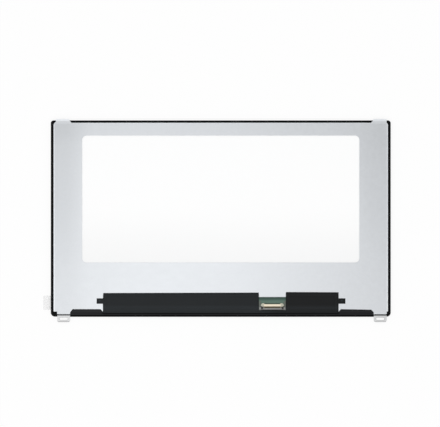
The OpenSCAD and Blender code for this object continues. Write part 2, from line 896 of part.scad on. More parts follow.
module mold_frame() {
  color(frame_black)
    difference() {
      union() {
        layer(rim_front_z, shelf_z - rim_front_z)
          difference() {
            upper_outline();
            area(-glass_x - glass_gap, low_y, glass_x + glass_gap, glass_top + glass_gap);
          }
        layer(shelf_z, shelf_t)
          difference() {
            upper_outline();
            picture_area(shelf_clear);
          }
        layer(upper_prism_z, rim_back_z - upper_prism_z)
          difference() {
            upper_outline();
            frame_opening();
          }
        layer(upper_prism_z, flex_z - upper_prism_z)
          area(block_in(LEFT), flange_low + frame_gap, block_in(RIGHT), flex_top);
        lower_rail();
        catches(0, catch_d);
      }
      for (side = [LEFT, RIGHT]) {
        layer(cover_z - frame_gap, cover_t + past)
          hook_seat(side);
        ear_plate(side);
      }
      round_cuts();
      translate([tail_x - tail_w / 2 - tail_play, low_y - past, flex_z - frame_gap])
        cube([tail_w + 2 * tail_play, cover_low + frame_gap - low_y + past, back_z]);
    }
}

// Mounting ears, set in the frame when it is moulded

module ear_plate(side) {
  x0 = min(ear_in(side), ear_out(side));
  y0 = low_y - ear_reach;
  y_slot = low_y - slot_y;
  y_in = cover_low - frame_gap - anchor_wall;
  slot_end = (slot_l - slot_w) / 2;
  plate_x = block_in(side) + side * anchor_step;
  plate_out = side * min(abs(ear_out(side)) + anchor_l, edge_x - anchor_inset);
  layer(ear_z, ear_t)
    difference() {
      union() {
        round_area(x0, y0, x0 + ear_w, y_in, ear_r, ear_r);
        area(x0, y0 + ear_r, x0 + ear_w, y_in);
        intersection() {
          round_area(-edge_x + anchor_inset, low_y + anchor_inset, edge_x - anchor_inset,
            edge_y - anchor_inset, corner_r_low - anchor_inset, corner_r_top - anchor_inset);
          union() {
            area(ear_in(side) - side * anchor_lug, low_y, plate_out, y_in);
            area(plate_x, low_y, plate_out, block_top - anchor_inset);
          }
        }
      }
      for (end = [LEFT, RIGHT])
        translate([ear_x(side) + end * slot_end, y_slot])
          circle(slot_w / 2);
      area(ear_x(side) - slot_end, y_slot - slot_w / 2, ear_x(side) + slot_end,
        y_slot + slot_w / 2);
      translate([(plate_x + plate_out) / 2, low_y + block_h / 2])
        circle(anchor_hole_r);
    }
}

module left_mounting_ear() {
  color(steel)
    ear_plate(LEFT);
}

module right_mounting_ear() {
  color(steel)
    ear_plate(RIGHT);
}

// Folded back cover

// Corner points of one half of the cover's flat, from the bottom up
function cover_side(side) = [
  [block_cut(side), flat_low],
  [block_cut(side), block_top + frame_gap],
  [side * flat_x, block_top + frame_gap],
  [side * flat_x, cut_y + cover_bend_r],
  [hook_out(side), hook_cut(side)],
  [hook_out(side), hook_top],
  [hook_in(side), hook_top],
  [hook_in(side), cover_top + hook_root],
  [hook_in(side) - side * hook_root, cover_top],
  [hook_in(side) - side * hook_root, flat_top]
];

// Bend and flange, drawn with the cover's flat to the left and its outer side to the right
module flange_section() {
  intersection() {
    translate([-cover_bend_r, bend_z])
      difference() {
        circle(cover_bend_r);
        circle(cover_bend_r - cover_t);
      }
    area(-cover_bend_r, bend_z, 0, back_z);
  }
  area(-cover_t, flange_z, 0, bend_z);
}

module back_cover() {
  side_y0 = block_top + frame_gap + flange_relief;
  side_y1 = cut_y - flange_relief;
  top_x0 = hook_in(LEFT) + hook_root + flange_relief;
  top_x1 = hook_in(RIGHT) - hook_root - flange_relief;
  low_x0 = block_cut(LEFT) + flange_relief;
  low_x1 = block_cut(RIGHT) - flange_relief;
  color(cover_silver)
    difference() {
      union() {
        layer(cover_z, cover_t)
          difference() {
            polygon(concat(cover_side(RIGHT), backwards(cover_side(LEFT))));
            round_area(-edge_x + window_side, low_y + window_low, edge_x - window_side,
              edge_y - window_top, window_r, window_r);
          }
        along_y(side_y0, side_y1) {
          translate([cover_x, 0])
            flange_section();
          mirror([1, 0])
            translate([cover_x, 0])
              flange_section();
        }
        along_x(top_x0, top_x1)
          translate([cover_top, 0])
            flange_section();
        along_x(low_x0, low_x1)
          translate([cover_low, 0])
            mirror([1, 0])
              flange_section();
      }
      catches(frame_gap, cover_t + 2 * frame_gap);
      translate([tail_x - tail_w / 2 - tail_play, cover_low - past, 0])
        cube([tail_w + 2 * tail_play, cover_t + past + frame_gap, guide_z + frame_gap]);
    }
}

// Circuit board and what it carries

module board_adhesive() {
  inset = board_tape_inset;
  color(sheet_white)
    layer(back_z, board_tape_t) {
      area(board_x0 + inset, board_low_y + inset, board_x1 - inset,
        board_low_y + inset + board_tape_w);
      area(board_x0 + inset, board_top_y - inset - board_tape_w, board_x1 - inset,
        board_top_y - inset);
    }
}

module circuit_board() {
  color(board_green)
    layer(board_z, board_t)
      area(board_x0, board_low_y, board_x1, board_top_y);
}

// Plan of a pointed post at one end of the housing's bar
function post_plan(side, y0, y1) =
  let (x = housing_w / 2, mid = (y0 + y1) / 2)
    [
      [side * contact_room / 2, y0],
      [side * x, y0],
      [side * (x + post_reach), mid - post_tip / 2],
      [side * (x + post_reach), mid + post_tip / 2],
      [side * x, y1],
      [side * contact_room / 2, y1]
    ];

// The housing is a floor with a raised bar over the contacts and a post at each end.
// In front of the bar the contacts cross an opening in the floor.
module connector_housing() {
  front = plug_front + shell_gap;
  bar_y = plug_back - housing_bar;
  floor_x = contact_room / 2 + housing_wall;
  color(ivory)
    translate([plug_x, 0, board_back_z])
      difference() {
        union() {
          layer(0, housing_floor)
            area(-floor_x, front, floor_x, plug_back);
          layer(0, housing_h)
            area(-housing_w / 2, bar_y, housing_w / 2, plug_back);
          layer(0, housing_h - post_drop)
            for (side = [LEFT, RIGHT])
              polygon(post_plan(side, bar_y - post_front, plug_back + post_back));
        }
        translate([-contact_room / 2, bar_y - past, housing_floor])
          cube([contact_room, housing_bar + 2 * past, contact_t + contact_play]);
        translate([-contact_room / 2, bar_y - floor_gap, -past])
          cube([contact_room, floor_gap, housing_floor + 2 * past]);
      }
}

// Outline of one half of the shell's strip, from the bridge's underside to the foot and back
function shell_half(side) =
  let (foot_x = shell_w / 2 - shell_foot, top_x = shell_top_w / 2)
    [
      [side * (top_x - shell_t / 2), housing_h - shell_t],
      [side * (foot_x - shell_t), 0],
      [side * shell_w / 2, 0],
      [side * shell_w / 2, shell_t],
      [side * foot_x, shell_t],
      [side * top_x, housing_h]
    ];

// The shell is one strip of sheet bridging the mouth. A narrow strap at each end, beside an
// open pocket, joins it to a foot.
module connector_shell() {
  foot_x = shell_w / 2 - shell_foot;
  pocket_x = shell_top_w / 2 + shell_t;
  color(steel)
    translate([plug_x, 0, board_back_z]) {
      difference() {
        along_y(plug_front, plug_front + shell_bridge)
          polygon(concat(shell_half(RIGHT), backwards(shell_half(LEFT))));
        for (side = [LEFT, RIGHT])
          translate([0, 0, -past])
            linear_extrude(housing_h + 2 * past)
              area(side * pocket_x, plug_front + shell_strap, side * foot_x,
                plug_front + shell_bridge + past);
      }
      layer(0, shell_t)
        for (side = [LEFT, RIGHT])
          area(side * foot_x, plug_front, side * shell_w / 2,
            plug_front + shell_bridge + shell_arm);
    }
}

// Each contact lies on the housing's floor, bends down behind it and ends on the board
module connector_contacts() {
  y0 = plug_front + shell_gap + contact_inset;
  y1 = plug_back + contact_play;
  y2 = plug_back + contact_tail;
  z1 = housing_floor;
  color(gold)
    translate([plug_x, 0, board_back_z])
      row(contact_count, contact_pitch)
        along_x(-contact_w / 2, contact_w / 2)
          polygon([
            [y0, z1],
            [y1, z1],
            [y1, 0],
            [y2, 0],
            [y2, contact_t],
            [y1 + contact_t, contact_t],
            [y1 + contact_t, z1 + contact_t],
            [y0, z1 + contact_t]
          ]);
}

// A flat square part on the board's middle line
module board_part(x, w, h) {
  translate([x - w / 2, parts_y - w / 2, board_back_z])
    cube([w, w, h]);
}

module timing_controller() {
  color(chip_black)
    board_part(controller_x, controller_w, controller_t);
}

module backlight_driver() {
  color(chip_black)
    board_part(tail_x + backlight_driver_x, backlight_driver_w, backlight_driver_t);
}

module backlight_connector() {
  color(ivory)
    difference() {
      translate([tail_x - tail_plug_w / 2, tail_plug_y, board_back_z])
        cube([tail_plug_w, tail_plug_d, tail_plug_h]);
      translate([tail_x - tail_w / 2 - tail_plug_play, tail_plug_y - past, board_back_z - past])
        cube([tail_w + 2 * tail_plug_play, tail_insert + tail_plug_play + past,
          past + flex_t + tail_plug_play]);
    }
}

module power_inductors() {
  color(chip_black)
    for (x = [tail_x + inductor_x, board_x1 - inductor_end])
      board_part(x, inductor_w, inductor_h);
}

module chip_capacitors() {
  columns = 4;
  rows = 3;
  color("tan")
    for (side = [LEFT, RIGHT], i = [0 : columns - 1], j = [0 : rows - 1])
      translate([
        controller_x + side * (controller_w / 2 + capacitor_gap + i * capacitor_step_x),
        parts_y + (j - 1) * capacitor_step_y,
        board_back_z + capacitor_w / 2
      ])
        cube([capacitor_l, capacitor_w, capacitor_w], center = true);
}

// Driver films bend round the lower edge from the glass ledge to the board

module driver_film(i) {
  x0 = film_x0 + i * film_step;
  color(film_brown)
    along_x(x0, x0 + film_w) {
      area(wrap_bend_y, tft_z - driver_film_t, tft_low + film_glass_lap, tft_z);
      half_ring(wrap_bend_y, wrap_bend_z, driver_bend_r, driver_film_t);
      area(wrap_bend_y, board_back_z, board_low_y + film_board_lap, driver_back_z);
    }
}

module driver_film_1() driver_film(0);
module driver_film_2() driver_film(1);
module driver_film_3() driver_film(2);
module driver_film_4() driver_film(3);

module driver_chips() {
  color(chip_black)
    for (i = [0 : film_count - 1])
      translate([film_x0 + i * film_step + (film_w - chip_l) / 2,
        board_low_y - chip_gap - chip_w, board_back_z - chip_t])
        cube([chip_l, chip_w, chip_t]);
}

// Board cover film, a thin sheet whose height follows what lies under it

function smooth(t) = t * t * (3 - 2 * t);
function ramp(v, a, b) = v <= a ? 0 : v >= b ? 1 : smooth((v - a) / (b - a));
function mix(t, a, b) = a + (b - a) * t;
function steps(a, b, n) = [for (i = [0 : n]) mix(i / n, a, b)];

cover_film_y0 = low_y + cover_film_low;
cover_film_y1 = low_y + cover_film_top;
film_flat_z = board_back_z + film_rise;
film_bond_z = driver_back_z + wrap_gap;
step_y0 = low_y + film_step_y;
step_y1 = step_y0 + film_step_w;
notch_w = shell_w + 2 * notch_gap;
notch_x0 = plug_x - notch_w / 2;
notch_x1 = notch_x0 + notch_w;

// Height of the film's underside along X and along Y, of which the lower one counts
function film_z_x(x) =
  abs(x) > cover_film_x - film_margin - film_slope
    ? mix(ramp(cover_film_x - abs(x), film_margin, film_margin + film_slope), back_z, film_flat_z)
    : mix(ramp(max(notch_x0 - x, x - notch_x1), 0, notch_slope), film_bond_z, film_flat_z);
function film_z_y(y) =
  y < step_y1
    ? mix(ramp(y, step_y0, step_y1), film_bond_z, film_flat_z)
    : mix(ramp(cover_film_y1 - y, film_margin, film_margin + film_slope), back_z, film_flat_z);
function film_z(x, y) = min(film_z_x(x), film_z_y(y));

film_xs = concat(
  [-cover_film_x],
  steps(-cover_film_x + film_margin, -cover_film_x + film_margin + film_slope, 5),
  steps(notch_x0 - notch_slope, notch_x0, 4),
  steps(notch_x1, notch_x1 + notch_slope, 4),
  steps(cover_film_x - film_margin - film_slope, cover_film_x - film_margin, 5),
  [cover_film_x]
);
film_ys = concat(
  [cover_film_y0],
  steps(step_y0, step_y1, 5),
  steps(cover_film_y1 - film_margin - film_slope, cover_film_y1 - film_margin, 5),
  [cover_film_y1]
);

// Closed sheet over a grid of points, from its underside and its thickness
module sheet(xs, ys, t) {
  nx = len(xs);
  ny = len(ys);
  n = nx * ny;
  points = [for (k = [0, 1], j = [0 : ny - 1], i = [0 : nx - 1])
    [xs[i], ys[j], film_z(xs[i], ys[j]) + k * t]];
  cells = [for (j = [0 : ny - 2], i = [0 : nx - 2]) j * nx + i];
  edge = concat(
    [for (i = [0 : nx - 2]) i],
    [for (j = [0 : ny - 2]) j * nx + nx - 1],
    [for (i = [nx - 1 : -1 : 1]) (ny - 1) * nx + i],
    [for (j = [ny - 1 : -1 : 1]) j * nx]
  );
  polyhedron(points, concat(
    [for (c = cells) each [[c, c + 1, c + nx + 1], [c, c + nx + 1, c + nx]]],
    [for (c = cells) each [[n + c, n + c + nx + 1, n + c + 1], [n + c, n + c + nx, n + c + nx + 1]]],
    [for (k = [0 : len(edge) - 1])
      let (a = edge[k], b = edge[(k + 1) % len(edge)])
        each [[a, n + a, n + b], [a, n + b, b]]]
  ));
}

module board_cover_film() {
  y_lug = low_y + lug_y;
  color(film_black) {
    difference() {
      sheet(film_xs, film_ys, cover_film_t);
      translate([notch_x0, low_y + notch_y, 0])
        cube([notch_w, panel_h, panel_h]);
    }
    for (side = [LEFT, RIGHT])
      layer(back_z, cover_film_t)
        area(side * (cover_film_x - film_margin / 2), y_lug - lug_w / 2,
          side * (cover_film_x + lug_reach), y_lug + lug_w / 2);
  }
}

// Edge tape, a strip wrapped round the lower edge with a wide end at each side.
// Each station along X gives the height at the back and where the strip ends there.

wrap_angles = steps(270, 90, 18);
wrap_front_end = low_y + wrap_front_y;

function wrap_line(z_back, y_back, t) =
  let (r = (z_back - wrap_front_z) / 2, y = wrap_out_y + r, z = wrap_front_z + r)
    concat(
      [[wrap_front_end, wrap_front_z - t]],
      [for (a = wrap_angles) [y + (r + t) * cos(a), z + (r + t) * sin(a)]],
      [[y_back, z_back + t]]
    );

function wrap_ring(s) =
  [for (p = concat(wrap_line(s[1], s[2], 0), backwards(wrap_line(s[1], s[2], edge_tape_t))))
    [s[0], p[0], p[1]]];

// Stations of one end, from the ear inwards
function wrap_stations(side) =
  let (a = wrap_end(side), b = wide_end(side), wide = low_y + wrap_wide_y,
    narrow = low_y + wrap_y, in = -side)
    concat(
      [
        [a, wrap_low_z, wide - wrap_slant_y],
        [a + in * wrap_slant, wrap_low_z, wide],
        [b - in * wrap_slant, wrap_low_z, wide],
        [b, wrap_low_z, narrow]
      ],
      [for (t = steps(0, 1, 6))
        if (t > 0)
          [b + in * t * wrap_rise_w, mix(smooth(t), wrap_low_z, wrap_high_z), narrow]]
    );

module bottom_edge_tape() {
  stations = concat(wrap_stations(LEFT), backwards(wrap_stations(RIGHT)));
  rings = [for (s = stations) wrap_ring(s)];
  m = len(rings[0]);
  n = len(rings);
  color(film_black)
    polyhedron([for (r = rings) each r], concat(
      [[for (i = [0 : m - 1]) i]],
      [for (k = [0 : n - 2], i = [0 : m - 1])
        let (a = k * m + i, b = k * m + (i + 1) % m)
          each [[a, a + m, b + m], [a, b + m, b]]],
      [[for (i = [m - 1 : -1 : 0]) (n - 1) * m + i]]
    ));
}

protective_film();
pull_tab();
front_polarizer();
color_filter_glass();
tft_glass();
rear_polarizer();
cell_tape();
upper_prism_sheet();
lower_prism_sheet();
diffuser_sheet();
light_guide_plate();
reflector_sheet();
led_flex();
leds();
mold_frame();
back_cover();
left_mounting_ear();
right_mounting_ear();
board_adhesive();
circuit_board();
connector_housing();
connector_shell();
connector_contacts();
timing_controller();
backlight_driver();
backlight_connector();
power_inductors();
chip_capacitors();
driver_film_1();
driver_film_2();
driver_film_3();
driver_film_4();
driver_chips();
board_cover_film();
bottom_edge_tape();
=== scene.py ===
import bmesh
import bpy
import numpy as np
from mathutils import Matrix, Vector


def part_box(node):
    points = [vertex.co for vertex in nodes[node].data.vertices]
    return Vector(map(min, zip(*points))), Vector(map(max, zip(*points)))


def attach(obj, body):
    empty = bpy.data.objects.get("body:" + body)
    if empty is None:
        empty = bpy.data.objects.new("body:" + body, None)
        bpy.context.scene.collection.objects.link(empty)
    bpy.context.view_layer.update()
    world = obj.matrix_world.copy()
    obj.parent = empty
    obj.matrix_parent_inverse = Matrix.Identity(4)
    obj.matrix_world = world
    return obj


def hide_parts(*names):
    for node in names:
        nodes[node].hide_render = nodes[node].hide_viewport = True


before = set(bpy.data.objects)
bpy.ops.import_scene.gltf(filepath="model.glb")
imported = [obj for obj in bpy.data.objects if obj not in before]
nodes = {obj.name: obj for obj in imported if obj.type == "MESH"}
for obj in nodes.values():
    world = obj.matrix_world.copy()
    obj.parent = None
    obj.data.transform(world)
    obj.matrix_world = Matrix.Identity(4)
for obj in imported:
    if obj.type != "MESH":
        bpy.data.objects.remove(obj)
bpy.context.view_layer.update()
mm = 0.001

# The panel lies screen down: X along its long side, Y towards its top edge, Z out of its back


# Shader maths

class Wire:
    # One output of a node, so that maths on values is written as an expression
    def __init__(self, graph, socket):
        self.graph = graph
        self.socket = socket

    def calc(self, operation, *values):
        return self.graph.add("Math", {"operation": operation}, dict(enumerate(values)))

    def __add__(self, other):
        return self.calc("ADD", self, other)

    def __radd__(self, other):
        return self.calc("ADD", other, self)

    def __sub__(self, other):
        return self.calc("SUBTRACT", self, other)

    def __rsub__(self, other):
        return self.calc("SUBTRACT", other, self)

    def __mul__(self, other):
        return self.calc("MULTIPLY", self, other)

    def __rmul__(self, other):
        return self.calc("MULTIPLY", other, self)

    def __truediv__(self, other):
        return self.calc("DIVIDE", self, other)

    def __pow__(self, other):
        return self.calc("POWER", self, other)

    def above(self, level):
        return self.calc("GREATER_THAN", self, level)

    def below(self, level):
        return self.calc("LESS_THAN", self, level)

    def least(self, other):
        return self.calc("MINIMUM", self, other)

    def most(self, other):
        return self.calc("MAXIMUM", self, other)

    def size(self):
        return self.calc("ABSOLUTE", self)

    def rest(self):
        return self.calc("FRACT", self)

    # Lines that repeat: 1 within share of a pitch on either side of each line, 0 between them
    def stripes(self, pitch, share):
        return ((self / pitch).rest() - 0.5).size().below(share)

    # A noise lies about 0.5, so this swings about 0 by the amount
    def swing(self, amount):
        return (self - 0.5) * amount


class Graph:
    # The node tree of one material or of the world
    def __init__(self, tree):
        self.tree = tree
        tree.nodes.clear()

    # Any node: its type, its settings first, then the values or links of its inputs
    def add(self, kind, settings=None, inputs=None, output=0):
        node = self.tree.nodes.new("ShaderNode" + kind)
        for key, value in (settings or {}).items():
            setattr(node, key, value)
        for key, value in (inputs or {}).items():
            if isinstance(value, Wire):
                self.tree.links.new(value.socket, node.inputs[key])
            else:
                node.inputs[key].default_value = value
        return Wire(self, node.outputs[output]) if len(node.outputs) else None

    # Noise over the object coordinates in metres, stretched where stretch is given
    def noise(self, scale, detail=3.0, rough=0.5, stretch=(1, 1, 1)):
        spot = self.add("TexCoord", output="Object")
        place = self.add("Mapping", {}, {"Vector": spot, "Scale": stretch})
        inputs = {"Vector": place, "Scale": scale, "Detail": detail, "Roughness": rough}
        return self.add("TexNoise", {}, inputs)

    # One of the object coordinates, in metres
    def along(self, name):
        spot = self.add("TexCoord", output="Object")
        return self.add("SeparateXYZ", {}, {"Vector": spot}, output=name)

    # Goes from first to last, with soft ends, as the value goes from low to high
    def ramp(self, value, low, high, first=0.0, last=1.0):
        inputs = {"Value": value, "From Min": low, "From Max": high, "To Min": first, "To Max": last}
        return self.add("MapRange", {"interpolation_type": "SMOOTHSTEP"}, inputs)

    def blend(self, share, first, second):
        return self.add("Mix", {"data_type": "RGBA"}, {0: share, 6: first, 7: second}, output=2)

    # The colour times a tone that varies over the surface
    def shade(self, color, tone):
        color = color if isinstance(color, Wire) else color[:3]
        return self.add("VectorMath", {"operation": "SCALE"}, {0: color, "Scale": tone})

    def bump(self, height, depth=1.0):
        return self.add("Bump", {}, {"Height": height, "Distance": depth})


def rgb(red, green, blue):
    return (red, green, blue, 1.0)


# A material with one surface shader: fixed values stand on its sockets, build gives the rest
def newFinish(name, fixed, build):
    material = bpy.data.materials.new(name)
    material.use_nodes = True
    graph = Graph(material.node_tree)
    surface = graph.add("BsdfPrincipled", {}, {**fixed, **build(graph)})
    graph.add("OutputMaterial", {}, {"Surface": surface})
    return material


# Tone of rolled and plated sheet: fine grain, blotches a few millimetres across and a slow change
def plating(graph, values):
    grain = graph.noise(values["grainScale"], detail=4.0, rough=0.6, stretch=values["grainStretch"])
    mottle = graph.noise(values["mottleScale"], rough=0.6)
    slow = graph.noise(values["slowScale"], detail=1.0)
    tone = 1 + mottle.swing(values["mottle"]) + grain.swing(values["grain"])
    tone = tone + slow.swing(values["slow"])
    rough = values["roughness"] + mottle.swing(values["roughMottle"])
    rough = rough + grain.swing(values["roughGrain"])
    return tone, rough, grain


# Sheet metal; shape, where given, changes the tone by place on the piece
def sheetMetal(name, values, shape=None):
    def build(graph):
        tone, rough, grain = plating(graph, values)
        if shape:
            tone = tone * shape(graph, values)
        return {
            "Base Color": graph.shade(values["color"], tone),
            "Roughness": rough,
            "Normal": graph.bump(grain, values["grainDepth"]),
        }
    return newFinish(name, {"Metallic": 1.0}, build)


# Painted shade and highlights on the cover: painted shade along its sides, most of all near the top
# and on the left, and a little along its top strip, short of its right end; painted highlights on its
# bends and at the ends of its hook tabs
def coverShape(graph, values):
    x = graph.along("X")
    y = graph.along("Y")
    side = graph.ramp(x.size(), values["shadeFrom"], values["shadeTo"])
    lower = graph.ramp(x, -values["shadeFrom"], values["shadeFrom"], *values["shadeSides"])
    upper = graph.ramp(y, values["shadeLow"], values["shadeHigh"])
    paintedShade = 1 - side * (lower + upper * values["shadeUpper"])
    strip = graph.ramp(y, values["stripLow"], values["stripHigh"])
    strip = strip * graph.ramp(x, values["stripRight"], values["stripLeft"])
    paintedShade = paintedShade * (1 - strip * values["stripShade"])
    bend = graph.ramp(x.size(), values["bendX"] - values["bendSoft"], values["bendX"])
    topBend = graph.ramp(y, values["bendY"] - values["bendSoft"], values["bendY"])
    hook = graph.ramp(y, values["hookLow"], values["hookHigh"])
    highlighted = (1 + bend * values["bendHighlight"]) * (1 + topBend * values["topHighlight"])
    return paintedShade * highlighted * (1 + hook * values["hookHighlight"])


# Painted shade on each ear along its lower edge, round its slot and at its root below the cover's
# edge, with the left ear painted darker and the right one lighter for the light on each side. The
# distance to the slot's outline is that to its middle line less half its width.
def earShape(graph, values):
    x = graph.along("X")
    y = graph.along("Y")

    def leftToRight(tones):
        return graph.ramp(x, values["leftSlot"], values["rightSlot"], *tones)

    fromLeft = (x - values["leftSlot"]).size()
    fromRight = (x - values["rightSlot"]).size()
    away = (fromLeft.least(fromRight) - values["slotHalf"]).most(0.0)
    down = y - values["slotLevel"]
    distance = (away * away + down * down) ** 0.5 - values["slotRadius"]
    rim = graph.ramp(distance, values["rimFrom"], values["rimTo"], values["rimShade"], 0.0)
    lip = graph.ramp(y, values["lipHigh"], values["lipLow"]) * leftToRight(values["lipShade"])
    root = graph.ramp(y, values["rootLow"], values["rootHigh"]) * leftToRight(values["rootShade"])
    return (1 - rim) * (1 - lip) * (1 - root) * leftToRight(values["earLightTones"])


# Contacts: gold in the mouth, coloured dark as painted shade there, and solder on the tails behind
# the housing, also coloured dark as painted shade
def contactFinish(name, values):
    def build(graph):
        tone, rough, grain = plating(graph, values)
        tail = graph.ramp(graph.along("Y"), values["tailFrom"], values["tailTo"])
        color = graph.blend(tail, values["color"], values["tailColor"])
        return {
            "Base Color": graph.shade(color, tone),
            "Roughness": rough + tail * values["tailRough"],
            "Normal": graph.bump(grain, values["grainDepth"]),
        }
    return newFinish(name, {"Metallic": 1.0}, build)


# Moulded plastic, film or tape: a fine speckle, soft waves and a low sheen; shape, where given,
# changes the tone by place on the piece, and tint the colour
def softPlastic(name, values, shape=None, tint=None):
    def build(graph):
        speckle = graph.noise(values["speckleScale"], rough=0.6)
        wave = graph.noise(values["waveScale"], detail=2.0, stretch=values["waveStretch"])
        tone = 1 + speckle.swing(values["speckle"]) + wave.swing(values["wave"])
        if shape:
            tone = tone * shape(graph, values)
        height = speckle * values["speckleDepth"] + wave * values["waveDepth"]
        return {
            "Base Color": graph.shade(tint(graph, values) if tint else values["color"], tone),
            "Roughness": values["roughness"] + speckle.swing(values["roughSpeckle"]),
            "Normal": graph.bump(height),
        }
    return newFinish(name, {"Specular IOR Level": values["shine"]}, build)


# Painted highlights on the cover film along the crease where it steps down off the board's parts and
# on the pips of its lugs, painted light on its wing left of the connector and painted shade on its
# wing right of it
def filmShape(graph, values):
    x = graph.along("X")
    y = graph.along("Y")
    above = graph.ramp(y, values["creaseTop"], values["creaseMiddle"])
    below = graph.ramp(y, values["creaseLow"], values["creaseMiddle"], values["creaseRest"], 1.0)
    wing = graph.ramp(x, values["wingLeft"], values["wingRight"], *values["wingShades"])
    across = x.size() - values["pipX"]
    upwards = y - values["pipY"]
    fromPip = (across * across + upwards * upwards) ** 0.5
    pip = graph.ramp(fromPip, values["pipFar"], values["pipNear"])
    return wing + above * below * values["creaseHighlight"] + pip * values["pipHighlight"]


# Painted shade on the edge tape's fold and along the crease beside the film, and painted light at its
# left end
def tapeShape(graph, values):
    x = graph.along("X")
    y = graph.along("Y")
    fold = graph.ramp(y, values["foldLow"], values["foldHigh"], values["foldShade"], 1.0)
    crease = graph.ramp(y, values["creaseLow"], values["creaseLow"] + values["creaseSoft"])
    crease = crease * graph.ramp(y, values["creaseHigh"] + values["creaseSoft"], values["creaseHigh"])
    film = values["filmHalf"]
    depth = graph.ramp(x.size(), film, film - values["filmSoft"], *values["creaseShade"])
    end = graph.ramp(x, values["paleLeft"], values["paleRight"], values["leftEndLight"], 1.0)
    return fold * (1 - crease * depth) * end


# Painted shade on the connector's housing where it turns down into the mouth
def mouthShape(graph, values):
    y = graph.along("Y")
    return graph.ramp(y, values["mouthLow"], values["mouthHigh"], values["mouthShade"], 1.0)


# The connector's housing is greyer on the posts at its two ends
def postTint(graph, values):
    away = (graph.along("X") - values["plugX"]).size()
    post = graph.ramp(away, values["postFrom"], values["postTo"])
    return graph.blend(post, values["color"], values["postColor"])


# White reflector film: nearly even, a little greyer towards its lower edge, with a faint cloud
def reflectorFilm(name, values):
    def build(graph):
        cloud = graph.noise(values["cloudScale"], detail=2.0)
        fine = graph.noise(values["fineScale"], detail=2.0)
        lower = graph.ramp(graph.along("Y"), values["greyBelow"], values["whiteAbove"])
        tone = values["lowerTone"] + lower * (1 - values["lowerTone"]) + cloud.swing(values["cloud"])
        return {
            "Base Color": graph.shade(values["color"], tone),
            "Roughness": values["roughness"] + fine.swing(values["roughFine"]),
            "Normal": graph.bump(fine, values["fineDepth"]),
        }
    return newFinish(name, {"Specular IOR Level": values["shine"]}, build)


# Clear or tinted film and glass: see-through by alpha, with faint streaks
def clearSheet(name, values):
    def build(graph):
        streak = graph.noise(values["streakScale"], stretch=values["streakStretch"])
        return {
            "Base Color": graph.shade(values["color"], 1 + streak.swing(values["streak"])),
            "Roughness": values["roughness"] + streak.swing(values["roughStreak"]),
            "Alpha": values["alpha"] + streak.swing(values["alphaStreak"]),
        }
    return newFinish(name, {"Specular IOR Level": values["shine"]}, build)


# Circuit board: solder mask over copper tracks and planes, with painted shade from the cover film's
# edge towards its upper edge and painted shade round the connector, and grey lands past the
# connector's ends
def boardMask(name, values):
    def build(graph):
        x = graph.along("X")
        y = graph.along("Y")
        track = x.stripes(values["pitch"], values["trackShare"])
        cloud = graph.noise(values["planeScale"], detail=1.0, stretch=values["planeStretch"])
        plane = graph.ramp(cloud, values["planeFrom"], values["planeTo"])
        copper = track * (1 - plane) + plane * values["planeTone"]
        weave = graph.noise(values["weaveScale"], detail=2.0)
        mask = graph.blend(copper * values["copperShow"], values["bare"], values["overCopper"])
        lit = graph.ramp(y, values["darkAbove"], values["lightBelow"])
        mask = graph.blend(lit, values["shaded"], mask)
        away = (x - values["plugX"]).size()
        underShade = graph.ramp(away, values["underShadeHalf"] + values["underShadeSoft"], values["underShadeHalf"])
        underShade = underShade * graph.ramp(y, values["underShadeTop"] + values["underShadeSoft"], values["underShadeTop"])
        mask = graph.blend(underShade, mask, values["underShade"])
        land = graph.ramp(away, values["landFrom"], values["landFrom"] + values["landSoft"])
        land = land * graph.ramp(y, values["landTop"] + values["landSoft"], values["landTop"])
        mask = graph.blend(land * values["landShow"], mask, values["land"])
        return {
            "Base Color": mask,
            "Roughness": values["roughness"] + weave.swing(values["roughWeave"]),
            "Normal": graph.bump(copper * values["copperDepth"] + weave * values["weaveDepth"]),
        }
    return newFinish(name, {"Specular IOR Level": values["shine"]}, build)


# Circuit film: amber with fine tracks along Y; its outer side at the back is coloured near black, as
# painted shade in the groove beside the cover film
def circuitFilm(name, values):
    def build(graph):
        track = graph.along("X").stripes(values["pitch"], values["trackShare"])
        cloud = graph.noise(values["cloudScale"], detail=2.0)
        backShade = graph.along("Z").above(values["backShadeAbove"])
        color = graph.blend(track * values["trackShow"], values["film"], values["track"])
        return {
            "Base Color": graph.blend(backShade, color, values["backShade"]),
            "Roughness": values["roughness"] + cloud.swing(values["roughCloud"]),
            "Normal": graph.bump(track, values["trackDepth"]),
        }
    return newFinish(name, {"Specular IOR Level": values["shine"]}, build)


# Values of the finishes: colours are linear, and the scale of a noise is per metre

plugX = 47.9 * mm  # middle of the cable connector

coverMetal = {
    "color": rgb(0.700, 0.722, 0.748), "roughness": 0.42,
    "grainStretch": (0.05, 1, 1), "grainScale": 2600.0, "grain": 0.03, "grainDepth": 0.004 * mm,
    "mottleScale": 270.0, "mottle": 0.11, "slowScale": 11.0, "slow": 0.05,
    "roughMottle": 0.1, "roughGrain": 0.06,
    # Painted shade along the cover's sides and top strip, and painted highlights on its bends and
    # hook tabs
    "shadeFrom": 118 * mm, "shadeTo": 146 * mm, "shadeLow": -90 * mm, "shadeHigh": 20 * mm,
    "shadeSides": (0.045, -0.02), "shadeUpper": 0.07,
    "stripLow": 66 * mm, "stripHigh": 82 * mm, "stripLeft": 60 * mm, "stripRight": 130 * mm,
    "stripShade": 0.035,
    "bendX": 155 * mm, "bendY": 88.6 * mm, "bendSoft": 1.1 * mm, "bendHighlight": 0.36, "topHighlight": 0.1,
    "hookLow": 89.8 * mm, "hookHigh": 91.5 * mm, "hookHighlight": 0.28,
}
